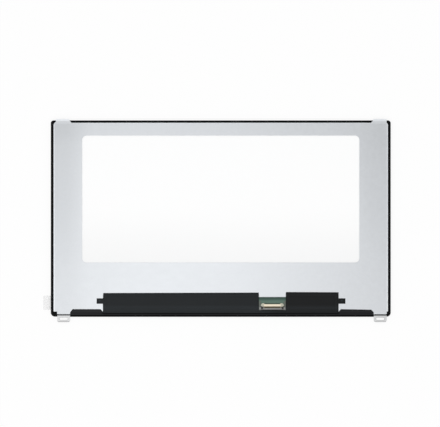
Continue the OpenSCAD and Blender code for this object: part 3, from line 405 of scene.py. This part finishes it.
# Where an ear's value is a pair, it is that of the left ear and that of the right one
# The ears carry painted shade on the lower edge, round the slot and at the root, and a painted tone
# for the light on each side
earMetal = dict(
    coverMetal, color=rgb(0.69, 0.695, 0.70), roughness=0.4, slow=0.03, earLightTones=(0.92, 1.03),
    leftSlot=-146 * mm, rightSlot=148.2 * mm, slotHalf=2.7 * mm, slotLevel=-93.25 * mm,
    slotRadius=1.1 * mm, rimFrom=0.2 * mm, rimTo=0.75 * mm, rimShade=0.24,
    lipLow=-96.0 * mm, lipHigh=-95.1 * mm, lipShade=(0.44, 0.28),
    rootLow=-90.9 * mm, rootHigh=-90.1 * mm, rootShade=(0.26, 0.5),
)
shellMetal = dict(coverMetal, color=rgb(0.19, 0.19, 0.187), roughness=0.34, slow=0.0)
# The contacts' gold and the tails' colour are dark: painted shade in the mouth and behind the housing
contactMetal = dict(
    coverMetal, color=rgb(0.112, 0.09, 0.05), roughness=0.3, slow=0.0,
    tailColor=rgb(0.07, 0.075, 0.062), tailFrom=-79.7 * mm, tailTo=-79.5 * mm, tailRough=0.15,
)
footSolder = dict(coverMetal, color=rgb(0.20, 0.205, 0.21), roughness=0.26, mottle=0.2, slow=0.0)
# The tails' solder is coloured dark: painted shade behind the housing
tailSolder = dict(footSolder, color=rgb(0.07, 0.075, 0.065))

framePlastic = {
    "color": rgb(0.0035, 0.0038, 0.0041), "roughness": 0.5, "shine": 0.07,
    "speckleScale": 3200.0, "speckle": 0.25, "speckleDepth": 0.006 * mm, "roughSpeckle": 0.12,
    "waveStretch": (1, 1, 1), "waveScale": 60.0, "wave": 0.15, "waveDepth": 0.0,
}
filmBlack = dict(
    framePlastic, color=rgb(0.0050, 0.0064, 0.0074), roughness=0.44, shine=0.2,
    speckleScale=1700.0, speckle=0.12, speckleDepth=0.004 * mm, roughSpeckle=0.1,
    waveStretch=(1, 2.5, 1), waveScale=28.0, wave=0.3, waveDepth=0.03 * mm,
    # Painted highlights on the film's crease and pips, and painted light and shade on its two wings
    creaseTop=-79.8 * mm, creaseMiddle=-82.9 * mm, creaseLow=-85.6 * mm, creaseRest=0.4, creaseHighlight=1.05,
    wingLeft=35 * mm, wingRight=60 * mm, wingShades=(1.6, 0.5),
    pipX=112.5 * mm, pipY=-76.2 * mm, pipNear=0.2 * mm, pipFar=1.1 * mm, pipHighlight=4.0,
)
tapeBlack = dict(
    filmBlack, color=rgb(0.0188, 0.0193, 0.0205), shine=0.03, waveDepth=0.015 * mm,
    # Painted shade on the tape's fold and beside the film, and painted light at its left end
    foldLow=-89.95 * mm, foldHigh=-89.3 * mm, foldShade=0.08,
    creaseLow=-88.85 * mm, creaseHigh=-87.65 * mm, creaseSoft=0.45 * mm, creaseShade=(0.3, 0.85),
    filmHalf=111 * mm, filmSoft=2 * mm, paleLeft=-112 * mm, paleRight=-106 * mm, leftEndLight=1.24,
)
chipPlastic = dict(framePlastic, color=rgb(0.014, 0.014, 0.015), roughness=0.55)
ivoryPlastic = dict(
    framePlastic, color=rgb(0.83, 0.74, 0.57), roughness=0.4, shine=0.5, speckle=0.04, wave=0.05,
)
housingPlastic = dict(
    ivoryPlastic, plugX=plugX, postFrom=7.2 * mm, postTo=8.4 * mm,
    # Painted shade on the housing where it turns into the mouth
    postColor=rgb(0.47, 0.46, 0.37), mouthLow=-82.0 * mm, mouthHigh=-81.0 * mm, mouthShade=0.42,
)
capacitorClay = dict(ivoryPlastic, color=rgb(0.40, 0.27, 0.15))
diodeClay = dict(ivoryPlastic, color=rgb(0.86, 0.82, 0.68))
tapeWhite = dict(ivoryPlastic, color=rgb(0.85, 0.85, 0.83), roughness=0.6)

reflectorWhite = {
    "color": rgb(0.985, 0.988, 0.988), "roughness": 0.5, "shine": 0.25,
    "cloudScale": 14.0, "cloud": 0.01, "fineScale": 1500.0, "fineDepth": 0.003 * mm, "roughFine": 0.1,
    "greyBelow": -45 * mm, "whiteAbove": 15 * mm, "lowerTone": 0.945,
}
opticalWhite = dict(reflectorWhite, color=rgb(0.90, 0.91, 0.91), lowerTone=1.0)

clearFilm = {
    "color": rgb(0.89, 0.892, 0.895), "roughness": 0.3, "shine": 0.4, "alpha": 0.34,
    "streakStretch": (1, 8, 1), "streakScale": 45.0, "streak": 0.04, "roughStreak": 0.08,
    "alphaStreak": 0.05,
}
screenFilm = dict(clearFilm, alpha=0.05, roughness=0.1)
solidFilm = dict(clearFilm, alpha=1.0, alphaStreak=0.0)
polarizerDark = dict(solidFilm, color=rgb(0.012, 0.012, 0.015), roughness=0.12)
cellGlass = dict(solidFilm, color=rgb(0.03, 0.035, 0.04), roughness=0.05)
guideAcrylic = dict(solidFilm, color=rgb(0.88, 0.9, 0.9), roughness=0.15)

boardGreen = {
    "bare": rgb(0.075, 0.135, 0.105), "overCopper": rgb(0.115, 0.19, 0.15), "copperShow": 0.8,
    # Painted shade of the cover film's edge on the board's upper part, and painted shade round the
    # connector
    "shaded": rgb(0.03, 0.065, 0.05), "darkAbove": -74.2 * mm, "lightBelow": -77.0 * mm,
    "pitch": 0.5 * mm, "trackShare": 0.26, "copperDepth": 0.02 * mm,
    "planeStretch": (1, 0.6, 1), "planeScale": 160.0, "planeFrom": 0.48, "planeTo": 0.52,
    "planeTone": 0.55, "plugX": plugX, "underShade": rgb(0.012, 0.012, 0.01),
    "underShadeHalf": 11.4 * mm, "underShadeTop": -81.4 * mm, "underShadeSoft": 0.3 * mm,
    "land": rgb(0.115, 0.118, 0.105), "landFrom": 10.0 * mm, "landTop": -77.0 * mm,
    "landSoft": 0.8 * mm, "landShow": 0.8,
    "weaveScale": 2400.0, "weaveDepth": 0.004 * mm, "roughWeave": 0.12,
    "roughness": 0.38, "shine": 0.3,
}
amberFilm = {
    # The near-black colour on the films' outer side at the back is painted shade for the groove
    "film": rgb(0.20, 0.10, 0.03), "track": rgb(0.36, 0.20, 0.07), "backShade": rgb(0.006, 0.0055, 0.005),
    "backShadeAbove": 3.0 * mm, "pitch": 0.4 * mm, "trackShare": 0.26, "trackShow": 0.7,
    "trackDepth": 0.01 * mm, "cloudScale": 300.0, "roughCloud": 0.1, "roughness": 0.4, "shine": 0.3,
}

# What each finish is made with: its kind, its values and what changes over the piece
recipes = {
    "coverMetal": (sheetMetal, coverMetal, coverShape),
    "earMetal": (sheetMetal, earMetal, earShape),
    "shellMetal": (sheetMetal, shellMetal),
    "contactMetal": (contactFinish, contactMetal),
    "footSolder": (sheetMetal, footSolder),
    "tailSolder": (sheetMetal, tailSolder),
    "framePlastic": (softPlastic, framePlastic),
    "filmBlack": (softPlastic, filmBlack, filmShape),
    "tapeBlack": (softPlastic, tapeBlack, tapeShape),
    "chipPlastic": (softPlastic, chipPlastic),
    "ivoryPlastic": (softPlastic, ivoryPlastic),
    "housingPlastic": (softPlastic, housingPlastic, mouthShape, postTint),
    "capacitorClay": (softPlastic, capacitorClay),
    "diodeClay": (softPlastic, diodeClay),
    "tapeWhite": (softPlastic, tapeWhite),
    "reflectorWhite": (reflectorFilm, reflectorWhite),
    "opticalWhite": (reflectorFilm, opticalWhite),
    "clearFilm": (clearSheet, clearFilm),
    "screenFilm": (clearSheet, screenFilm),
    "polarizerDark": (clearSheet, polarizerDark),
    "cellGlass": (clearSheet, cellGlass),
    "guideAcrylic": (clearSheet, guideAcrylic),
    "boardGreen": (boardMask, boardGreen),
    "amberFilm": (circuitFilm, amberFilm),
}
finishes = {name: kind(name, *rest) for name, (kind, *rest) in recipes.items()}

nodeFinishes = {
    "coverMetal": ["back_cover"],
    "earMetal": ["left_mounting_ear", "right_mounting_ear"],
    "shellMetal": ["connector_shell"],
    "contactMetal": ["connector_contacts"],
    "framePlastic": ["mold_frame"],
    "filmBlack": ["board_cover_film"],
    "tapeBlack": ["cell_tape", "bottom_edge_tape"],
    "chipPlastic": ["timing_controller", "backlight_driver", "power_inductors", "driver_chips"],
    "ivoryPlastic": ["backlight_connector"],
    "housingPlastic": ["connector_housing"],
    "capacitorClay": ["chip_capacitors"],
    "diodeClay": ["leds"],
    "tapeWhite": ["board_adhesive"],
    "reflectorWhite": ["reflector_sheet"],
    "opticalWhite": ["upper_prism_sheet", "lower_prism_sheet", "diffuser_sheet"],
    "clearFilm": ["pull_tab"],
    "screenFilm": ["protective_film"],
    "polarizerDark": ["front_polarizer", "rear_polarizer"],
    "cellGlass": ["color_filter_glass", "tft_glass"],
    "guideAcrylic": ["light_guide_plate"],
    "boardGreen": ["circuit_board"],
    "amberFilm": ["led_flex", "driver_film_1", "driver_film_2", "driver_film_3", "driver_film_4"],
}
for finish, members in nodeFinishes.items():
    for member in members:
        nodes[member].data.materials.clear()
        nodes[member].data.materials.append(finishes[finish])
print("finishes are on all the frame's nodes")


# Surfaces worked out with numpy, in millimetres

# Smooth step from 0 at low to 1 at high: t * t * (3 - 2t)
def smooth(value, low, high):
    t = np.clip((value - low) / (high - low), 0, 1)
    return t * t * (3 - 2 * t)


# Values from the first stop to the last that hit every stop, about step apart
def stations(stops, step):
    parts = [
        np.linspace(a, b, max(int(np.ceil((b - a) / step)), 1), endpoint=False)
        for a, b in zip(stops[:-1], stops[1:])
    ]
    return np.concatenate(parts + [np.array(stops[-1:])])


waveSet = {"count": 7, "fullTurn": 6.28, "stretch": (0.6, 1.7)}


# Low, even waves of size 1 at most: the mean of sines, each with a direction, a phase and a
# length of its own, drawn from the seed
def waves(x, y, seed, length):
    draw = np.random.default_rng(seed)
    count = waveSet["count"]
    angles = draw.uniform(0, np.pi, count)
    phases = draw.uniform(0, waveSet["fullTurn"], count)
    stretches = draw.uniform(*waveSet["stretch"], count)
    total = 0
    for angle, phase, stretch in zip(angles, phases, stretches):
        reach = (x * np.cos(angle) + y * np.sin(angle)) / (length * stretch)
        total = total + np.sin(2 * np.pi * reach + phase)
    return total / count


# The four corners of each cell of a grid of points, or of each of several grids
def gridCells(shape):
    index = np.arange(np.prod(shape)).reshape(shape)
    first = index[..., :-1, :]
    second = index[..., 1:, :]
    return np.stack([first[..., :-1], first[..., 1:], second[..., 1:], second[..., :-1]], axis=-1)


# A smooth piece from its points and the four corners of each face
def newPiece(name, points, quads, finish):
    mesh = bpy.data.meshes.new(name)
    mesh.from_pydata((points.reshape(-1, 3) * mm).tolist(), [], quads.reshape(-1, 4).tolist())
    mesh.polygons.foreach_set("use_smooth", np.ones(len(mesh.polygons), bool))
    mesh.materials.append(finishes[finish])
    piece = bpy.data.objects.new(name, mesh)
    bpy.context.scene.collection.objects.link(piece)
    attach(piece, "root")
    return piece


# A sheet from a grid of points, thickened below them; keep says which of its cells are there
def newSheet(name, points, thickness, finish, keep=True):
    quads = gridCells(points.shape[:2])
    quads = quads[np.broadcast_to(keep, quads.shape[:2])]
    used, corners = np.unique(quads, return_inverse=True)
    piece = newPiece(name, points.reshape(-1, 3)[used], corners, finish)
    wall = piece.modifiers.new("thickness", "SOLIDIFY")
    wall.thickness = thickness * mm
    wall.offset = -1
    wall.use_even_offset = True
    return piece


# A node's lowest and highest corners
def boxOf(name):
    low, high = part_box(name)
    return np.array(low) / mm, np.array(high) / mm


# Board cover film

coverFilm = {
    "thickness": 0.1, "step": 0.6, "margin": 1.3, "slope": 2.4, "slopeStep": 0.3,
    "lugReach": 6.1, "lugLow": 8.45, "lugHigh": 13.5, "leftTrim": 0.3, "rightGrowth": 0.2,
    "stepLow": 3.6, "stepHigh": 5.6, "bondHeight": 3.15, "lap": 0.12, "lapDepth": 1.7,
    "notchGap": 0.4, "notchLow": 2.5, "notchSlope": 1.4,
    "sag": 0.065, "sagEdge": 1.6, "ripple": 0.03, "rippleLength": 17.0, "seed": 4,
    "rightWing": 0.5, "rightTilt": 0.2, "leftTilt": 0.22, "cornerCut": 0.35,
    "pipX": 3.1, "pipY": 11.4, "pipRadius": 0.6, "pipHeight": 0.08,
    "heldBy": ("timing_controller", "backlight_driver", "backlight_connector"),
}


# Where the film's sides, lugs, edges and notch are, and the heights of its underside
def filmPlaces():
    film = coverFilm
    low, high = boxOf("board_cover_film")
    shellLow, shellHigh = boxOf("connector_shell")
    return {
        "left": low[0] + film["lugReach"], "right": high[0] - film["lugReach"],
        "leftLug": low[0] + film["leftTrim"], "rightLug": high[0] + film["rightGrowth"],
        "low": low[1], "top": high[1],
        "notchLeft": shellLow[0] - film["notchGap"], "notchRight": shellHigh[0] + film["notchGap"],
        "floor": boxOf("back_cover")[1][2], "flat": high[2] - film["thickness"],
    }


# The grid's lines along X and along Y, with one at each place where the height bends
def filmLines(at):
    film = coverFilm
    reach = film["margin"] + film["slope"]
    leftStops = [at["leftLug"], at["left"], at["left"] + film["margin"], at["left"] + reach]
    rightStops = [at["right"] - reach, at["right"] - film["margin"], at["right"], at["rightLug"]]
    middleStops = [
        leftStops[-1], at["notchLeft"] - film["notchSlope"], at["notchLeft"],
        at["notchRight"], at["notchRight"] + film["notchSlope"], rightStops[0],
    ]
    fromLow = [
        0, film["lapDepth"] / 2, film["lapDepth"], film["notchLow"],
        film["stepLow"], film["stepHigh"], film["lugLow"], film["lugHigh"],
    ]
    topMargin = at["top"] - film["margin"]
    topStops = [topMargin - film["slope"], topMargin, at["top"]]
    xs = np.concatenate([
        stations(leftStops, film["slopeStep"])[:-1],
        stations(middleStops, film["step"]),
        stations(rightStops, film["slopeStep"])[1:],
    ])
    return xs, stations([at["low"] + up for up in fromLow] + topStops, film["slopeStep"])


# How firmly the board's parts hold the film up: 1 over a part, falling to 0 beside it
def heldUp(x, y):
    held = np.zeros_like(x)
    for part in coverFilm["heldBy"]:
        low, high = boxOf(part)
        dx = np.maximum(np.maximum(low[0] - x, x - high[0]), 0)
        dy = np.maximum(np.maximum(low[1] - y, y - high[1]), 0)
        held = np.maximum(held, 1 - smooth(np.hypot(dx, dy), 0, coverFilm["sagEdge"]))
    return held


# Height of the film's back: the lowest of four slopes, from its sides, its notch, its lower step
# and its top, less a sag between the parts that hold it up, plus low waves that die out at the
# stuck edges and a lower lip that lies over the tape, and never above the flat height. Each lug
# lies on the cover, pressed over a small pip: a bell curve of the distance to its middle.
def filmHeight(x, y, at):
    film = coverFilm
    floor = at["floor"]
    flat = at["flat"]
    bond = film["bondHeight"]
    reach = film["margin"] + film["slope"]
    inSide = np.minimum(x - at["left"], at["right"] - x)
    byNotch = np.maximum(at["notchLeft"] - x, x - at["notchRight"])
    side = floor + (flat - floor) * smooth(inSide, film["margin"], reach)
    mouth = bond + (flat - bond) * smooth(byNotch, 0, film["notchSlope"])
    lower = bond + (flat - bond) * smooth(y - at["low"], film["stepLow"], film["stepHigh"])
    upper = floor + (flat - floor) * smooth(at["top"] - y, film["margin"], reach)
    height = np.minimum(np.minimum(side, mouth), np.minimum(lower, upper))
    raised = np.clip((height - bond) / (flat - bond), 0, 1)
    sag = raised * (1 - heldUp(x, y)) * film["sag"]
    ripple = raised * waves(x, y, film["seed"], film["rippleLength"]) * film["ripple"]
    lap = (1 - smooth(y - at["low"], film["lapDepth"] / 2, film["lapDepth"])) * film["lap"]
    height = np.where(inSide < 0, floor, np.minimum(height - sag + ripple + lap, flat))
    pipX = np.minimum(x - at["leftLug"], at["rightLug"] - x) - film["pipX"]
    fromPip = np.hypot(pipX, y - at["low"] - film["pipY"])
    pip = film["pipHeight"] * np.exp(-(fromPip / film["pipRadius"]) ** 2)
    return height + film["thickness"] + pip


# The film was cut by hand: its upper edge rises towards the notch from the left and stands
# higher on the right, and its left side slants in above the lug
def handCut(x, y, at):
    film = coverFilm
    reach = film["margin"] + film["slope"]
    lugTop = at["low"] + film["lugHigh"]
    nearTop = np.clip((y - at["top"] + reach) / film["margin"], 0, 1)
    aboveLug = np.clip((y - lugTop) / (at["top"] - lugTop), 0, 1)
    fromLeft = np.clip((x - at["left"]) / (at["notchLeft"] - at["left"]), 0, 1)
    fromRight = np.clip((at["right"] - x) / (at["right"] - at["notchRight"]), 0, 1)
    leftRise = np.where(x < at["notchLeft"], (2 * fromLeft - 1) * film["leftTilt"], 0)
    rightRise = film["rightWing"] + fromRight * film["rightTilt"]
    rise = np.where(x > at["notchRight"], rightRise, leftRise)
    slant = film["cornerCut"] * aboveLug * (1 - smooth(x - at["left"], 0, reach))
    return x + slant, y + rise * nearTop


# The film's cells lie between its sides or on a lug, and outside the notch
def filmCells(xs, ys, at):
    film = coverFilm
    x, y = np.meshgrid((xs[1:] + xs[:-1]) / 2, (ys[1:] + ys[:-1]) / 2 - at["low"])
    inFilm = (x > at["left"]) & (x < at["right"])
    inLug = (y > film["lugLow"]) & (y < film["lugHigh"])
    inNotch = (x > at["notchLeft"]) & (x < at["notchRight"]) & (y > film["notchLow"])
    return (inFilm | inLug) & ~inNotch


# A grid of points over X and Y, moved in the plane as the film was cut and lifted to its height
def makeCoverFilm():
    at = filmPlaces()
    xs, ys = filmLines(at)
    x, y = np.meshgrid(xs, ys)
    points = np.stack([*handCut(x, y, at), filmHeight(x, y, at)], axis=-1)
    keep = filmCells(xs, ys, at)
    piece = newSheet("cover_film_skin", points, coverFilm["thickness"], "filmBlack", keep)
    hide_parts("board_cover_film")


makeCoverFilm()
print("the board's cover film is made")


# Edge tape

edgeTape = {
    "thickness": 0.07, "frontHeight": 0.35, "lowBack": 2.52, "highBack": 3.15,
    "frontEnd": 3.4, "narrowEnd": 4.35, "wideEnd": 6.95, "slant": 2.15, "slantHigh": 2.8,
    "rightFall": 0.5, "filmGap": 0.15, "bulge": 0.25, "round": 0.5,
    "ripple": 0.012, "rippleLength": 9.0, "seed": 9,
    "frontPoints": 3, "bendPoints": 24, "backPoints": 6, "step": 0.5, "slopeStep": 0.3,
}


# The grid's lines along X, and where the tape ends at the back at each: wide ends with slanted
# corners that are a little rounded, and a narrow middle
def tapeLines(low, high, half):
    tape = edgeTape
    inner = half - tape["filmGap"]
    flat = half - coverFilm["margin"] - coverFilm["slope"]
    leftStops = [low[0], low[0] + tape["slant"], -inner - tape["slant"], -inner]
    rightStops = [inner, inner + tape["slant"], high[0] - tape["slant"], high[0]]
    xs = np.concatenate([
        stations(leftStops, tape["step"])[:-1],
        stations([-inner, -flat], tape["slopeStep"])[:-1],
        stations([-flat, flat], tape["step"])[:-1],
        stations([flat, inner], tape["slopeStep"])[:-1],
        stations(rightStops, tape["step"]),
    ])
    narrow = low[1] + tape["narrowEnd"]
    wide = low[1] + tape["wideEnd"]
    cut = wide - tape["slantHigh"]
    stops = leftStops + rightStops
    ends = [cut, wide, wide, narrow, narrow, wide, wide - tape["rightFall"], cut]
    sharp = np.interp(xs, stops, ends)
    before = np.interp(xs - tape["round"], stops, ends)
    after = np.interp(xs + tape["round"], stops, ends)
    return xs, np.minimum(sharp, (sharp + (before + after) / 2) / 2)


# The tape's outer line in Y and Z at each X: flat from the front end, a half circle round the
# lower edge that bulges outwards, flat again to the back end. The back's height depends on X:
# the tape runs under the film's lower lip and rises with it from the cover to the circuit films.
def makeEdgeTape():
    tape = edgeTape
    low, high = boxOf("bottom_edge_tape")
    filmLow, filmHigh = boxOf("board_cover_film")
    half = filmHigh[0] - coverFilm["lugReach"]
    xs, backEnd = tapeLines(low, high, half)
    slopeEnd = coverFilm["margin"] + coverFilm["slope"]
    climb = smooth(half - np.abs(xs), coverFilm["margin"], slopeEnd)
    filmFlat = filmHigh[2] - coverFilm["thickness"] - filmLow[2]
    backHeight = np.minimum(tape["lowBack"] + filmFlat * climb, tape["highBack"])[:, None]
    radius = (backHeight - tape["frontHeight"]) / 2
    outer = radius + tape["thickness"]
    middleY = low[1] + outer
    middleZ = tape["frontHeight"] + radius
    frontEnd = low[1] + tape["frontEnd"]
    front = np.linspace(0, 1, tape["frontPoints"] + 1)[:-1]
    angles = np.linspace(-np.pi / 2, -3 * np.pi / 2, tape["bendPoints"])
    back = np.linspace(0, 1, tape["backPoints"] + 1)[1:]
    backY = middleY + (backEnd[:, None] - middleY) * back
    ripple = waves(xs[:, None], backY, tape["seed"], tape["rippleLength"]) * tape["ripple"]
    y = np.concatenate([
        frontEnd + (middleY - frontEnd) * front,
        middleY + (outer + tape["bulge"]) * np.cos(angles),
        backY,
    ], axis=1)
    z = np.concatenate([
        (middleZ - outer) * np.ones_like(front),
        middleZ + outer * np.sin(angles),
        middleZ + outer + ripple,
    ], axis=1)
    points = np.stack([np.broadcast_to(xs[:, None], y.shape), y, z], axis=-1).transpose(1, 0, 2)
    piece = newSheet("edge_tape_skin", points, tape["thickness"], "tapeBlack")
    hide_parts("bottom_edge_tape")


makeEdgeTape()
print("the edge tape is made")


# Solder round the connector's tails and feet; each size is a width, a length and a height

solder = {
    "count": 30, "pitch": 0.5, "tailSize": (0.36, 0.7, 0.13), "tailBack": 0.35,
    "footSize": (2.1, 2.7, 0.13), "footIn": 0.8, "sunk": 0.03,
    "rings": 5, "turns": 12, "mergeWithin": 0.0005,
}


# Low closed mounds standing on the board, as one mesh. Over an oval of u and v the height is
# the root of 1 - u^2 - v^2; the underside is flat and a little inside the board.
def makeMounds(name, centres, size, finish):
    wide, long, high = size
    base = boxOf("circuit_board")[1][2]
    radius = np.concatenate([[0, 1], np.linspace(1, 0, solder["rings"])])[:, None]
    lift = np.sqrt(1 - radius ** 2) * high
    lift[:2] = -solder["sunk"]
    turn = np.linspace(0, 2 * np.pi, solder["turns"] + 1)
    u = radius * np.cos(turn) * wide / 2
    v = radius * np.sin(turn) * long / 2
    w = lift * np.ones_like(turn)
    points = np.array([[x + u, y + v, base + w] for x, y in centres]).transpose(0, 2, 3, 1)
    piece = newPiece(name, points, gridCells(points.shape[:3]), finish)
    work = bmesh.new()
    work.from_mesh(piece.data)
    bmesh.ops.remove_doubles(work, verts=work.verts, dist=solder["mergeWithin"] * mm)
    bmesh.ops.recalc_face_normals(work, faces=work.faces)
    work.to_mesh(piece.data)
    work.free()


def makeSolder():
    contactLow, contactHigh = boxOf("connector_contacts")
    shellLow, shellHigh = boxOf("connector_shell")
    middle = (contactLow[0] + contactHigh[0]) / 2
    steps = np.arange(solder["count"]) - (solder["count"] - 1) / 2
    tailY = contactHigh[1] - solder["tailBack"]
    footY = (shellLow[1] + shellHigh[1]) / 2
    tails = [(x, tailY) for x in middle + steps * solder["pitch"]]
    feet = [(x, footY) for x in (shellLow[0] + solder["footIn"], shellHigh[0] - solder["footIn"])]
    makeMounds("tail_solder", tails, solder["tailSize"], "tailSolder")
    makeMounds("foot_solder", feet, solder["footSize"], "footSolder")


makeSolder()
print("the solder is made")


# Floor, light and camera

studio = {
    "floorColor": rgb(0.985, 0.985, 0.985), "floorSize": 14.0, "floorLevel": -0.02 * mm,
    "floorGlow": 0.86, "glowStrength": 0.993,
    "overhead": 0.29, "around": 1.09, "overheadFrom": 0.80, "overheadTo": 0.93,
    "softboxPower": 1.7, "softboxSize": 0.5, "softboxPlace": (-0.09, -0.10, 1.2),
}


# White paper; part of what the camera, reflections and clear sheets show of it is a light of
# its own, which keeps the ground white and the shadows pale
def paperFinish():
    material = bpy.data.materials.new("floorPaper")
    material.use_nodes = True
    graph = Graph(material.node_tree)
    seen = graph.add("LightPath", output="Is Camera Ray")
    glossy = graph.add("LightPath", output="Is Glossy Ray")
    clear = graph.add("LightPath", output="Is Transmission Ray")
    share = (seen + glossy + clear).least(1.0) * studio["floorGlow"]
    paper = graph.add("BsdfDiffuse", {}, {"Color": studio["floorColor"]})
    glow = graph.add("Emission", {}, {"Color": rgb(1, 1, 1), "Strength": studio["glowStrength"]})
    surface = graph.add("MixShader", {}, {0: share, 1: paper, 2: glow})
    graph.add("OutputMaterial", {}, {"Surface": surface})
    return material


def makeFloor():
    half = studio["floorSize"] / 2
    level = studio["floorLevel"]
    mesh = bpy.data.meshes.new("floor")
    corners = [(-half, -half, level), (half, -half, level), (half, half, level), (-half, half, level)]
    mesh.from_pydata(corners, [], [(0, 1, 2, 3)])
    mesh.materials.append(paperFinish())
    floor = bpy.data.objects.new("floor", mesh)
    bpy.context.scene.collection.objects.link(floor)


# An even pale surround with a dimmer patch overhead, as in a photo studio
def makeWorld():
    world = bpy.data.worlds.new("studio")
    bpy.context.scene.world = world
    world.use_nodes = True
    graph = Graph(world.node_tree)
    direction = graph.add("TexCoord", output="Generated")
    up = graph.add("SeparateXYZ", {}, {"Vector": direction}, output="Z")
    patch = (studio["overheadFrom"], studio["overheadTo"])
    strength = graph.ramp(up, *patch, studio["around"], studio["overhead"])
    light = graph.add("Background", {}, {"Color": rgb(1, 1, 1), "Strength": strength})
    graph.add("OutputWorld", {}, {"Surface": light})


# A lamp above the panel, turned to its middle
def makeSoftbox():
    lamp = bpy.data.lights.new("softbox", "AREA")
    lamp.energy = studio["softboxPower"]
    lamp.size = studio["softboxSize"]
    softbox = bpy.data.objects.new("softbox", lamp)
    softbox.visible_camera = False
    softbox.location = studio["softboxPlace"]
    softbox.rotation_euler = Vector(studio["softboxPlace"]).to_track_quat("Z", "Y").to_euler()
    bpy.context.scene.collection.objects.link(softbox)


camera = {
    "lens": 200.0, "sensor": 36.0, "viewWide": 408.74 * mm,
    "middle": (-0.70 * mm, 4.65 * mm), "backHeight": 2.5 * mm,
}


# The camera looks straight down, so far up that the panel's back fills the frame as in the photo
def makeCamera():
    lens = bpy.data.cameras.new("camera")
    lens.lens = camera["lens"]
    lens.sensor_width = camera["sensor"]
    height = camera["backHeight"] + camera["viewWide"] * camera["lens"] / camera["sensor"]
    view = bpy.data.objects.new("camera", lens)
    view.location = (*camera["middle"], height)
    bpy.context.scene.collection.objects.link(view)
    bpy.context.scene.camera = view
    bpy.context.scene.view_settings.view_transform = "Standard"


makeFloor()
makeWorld()
makeSoftbox()
makeCamera()
print("floor, light and camera are set")
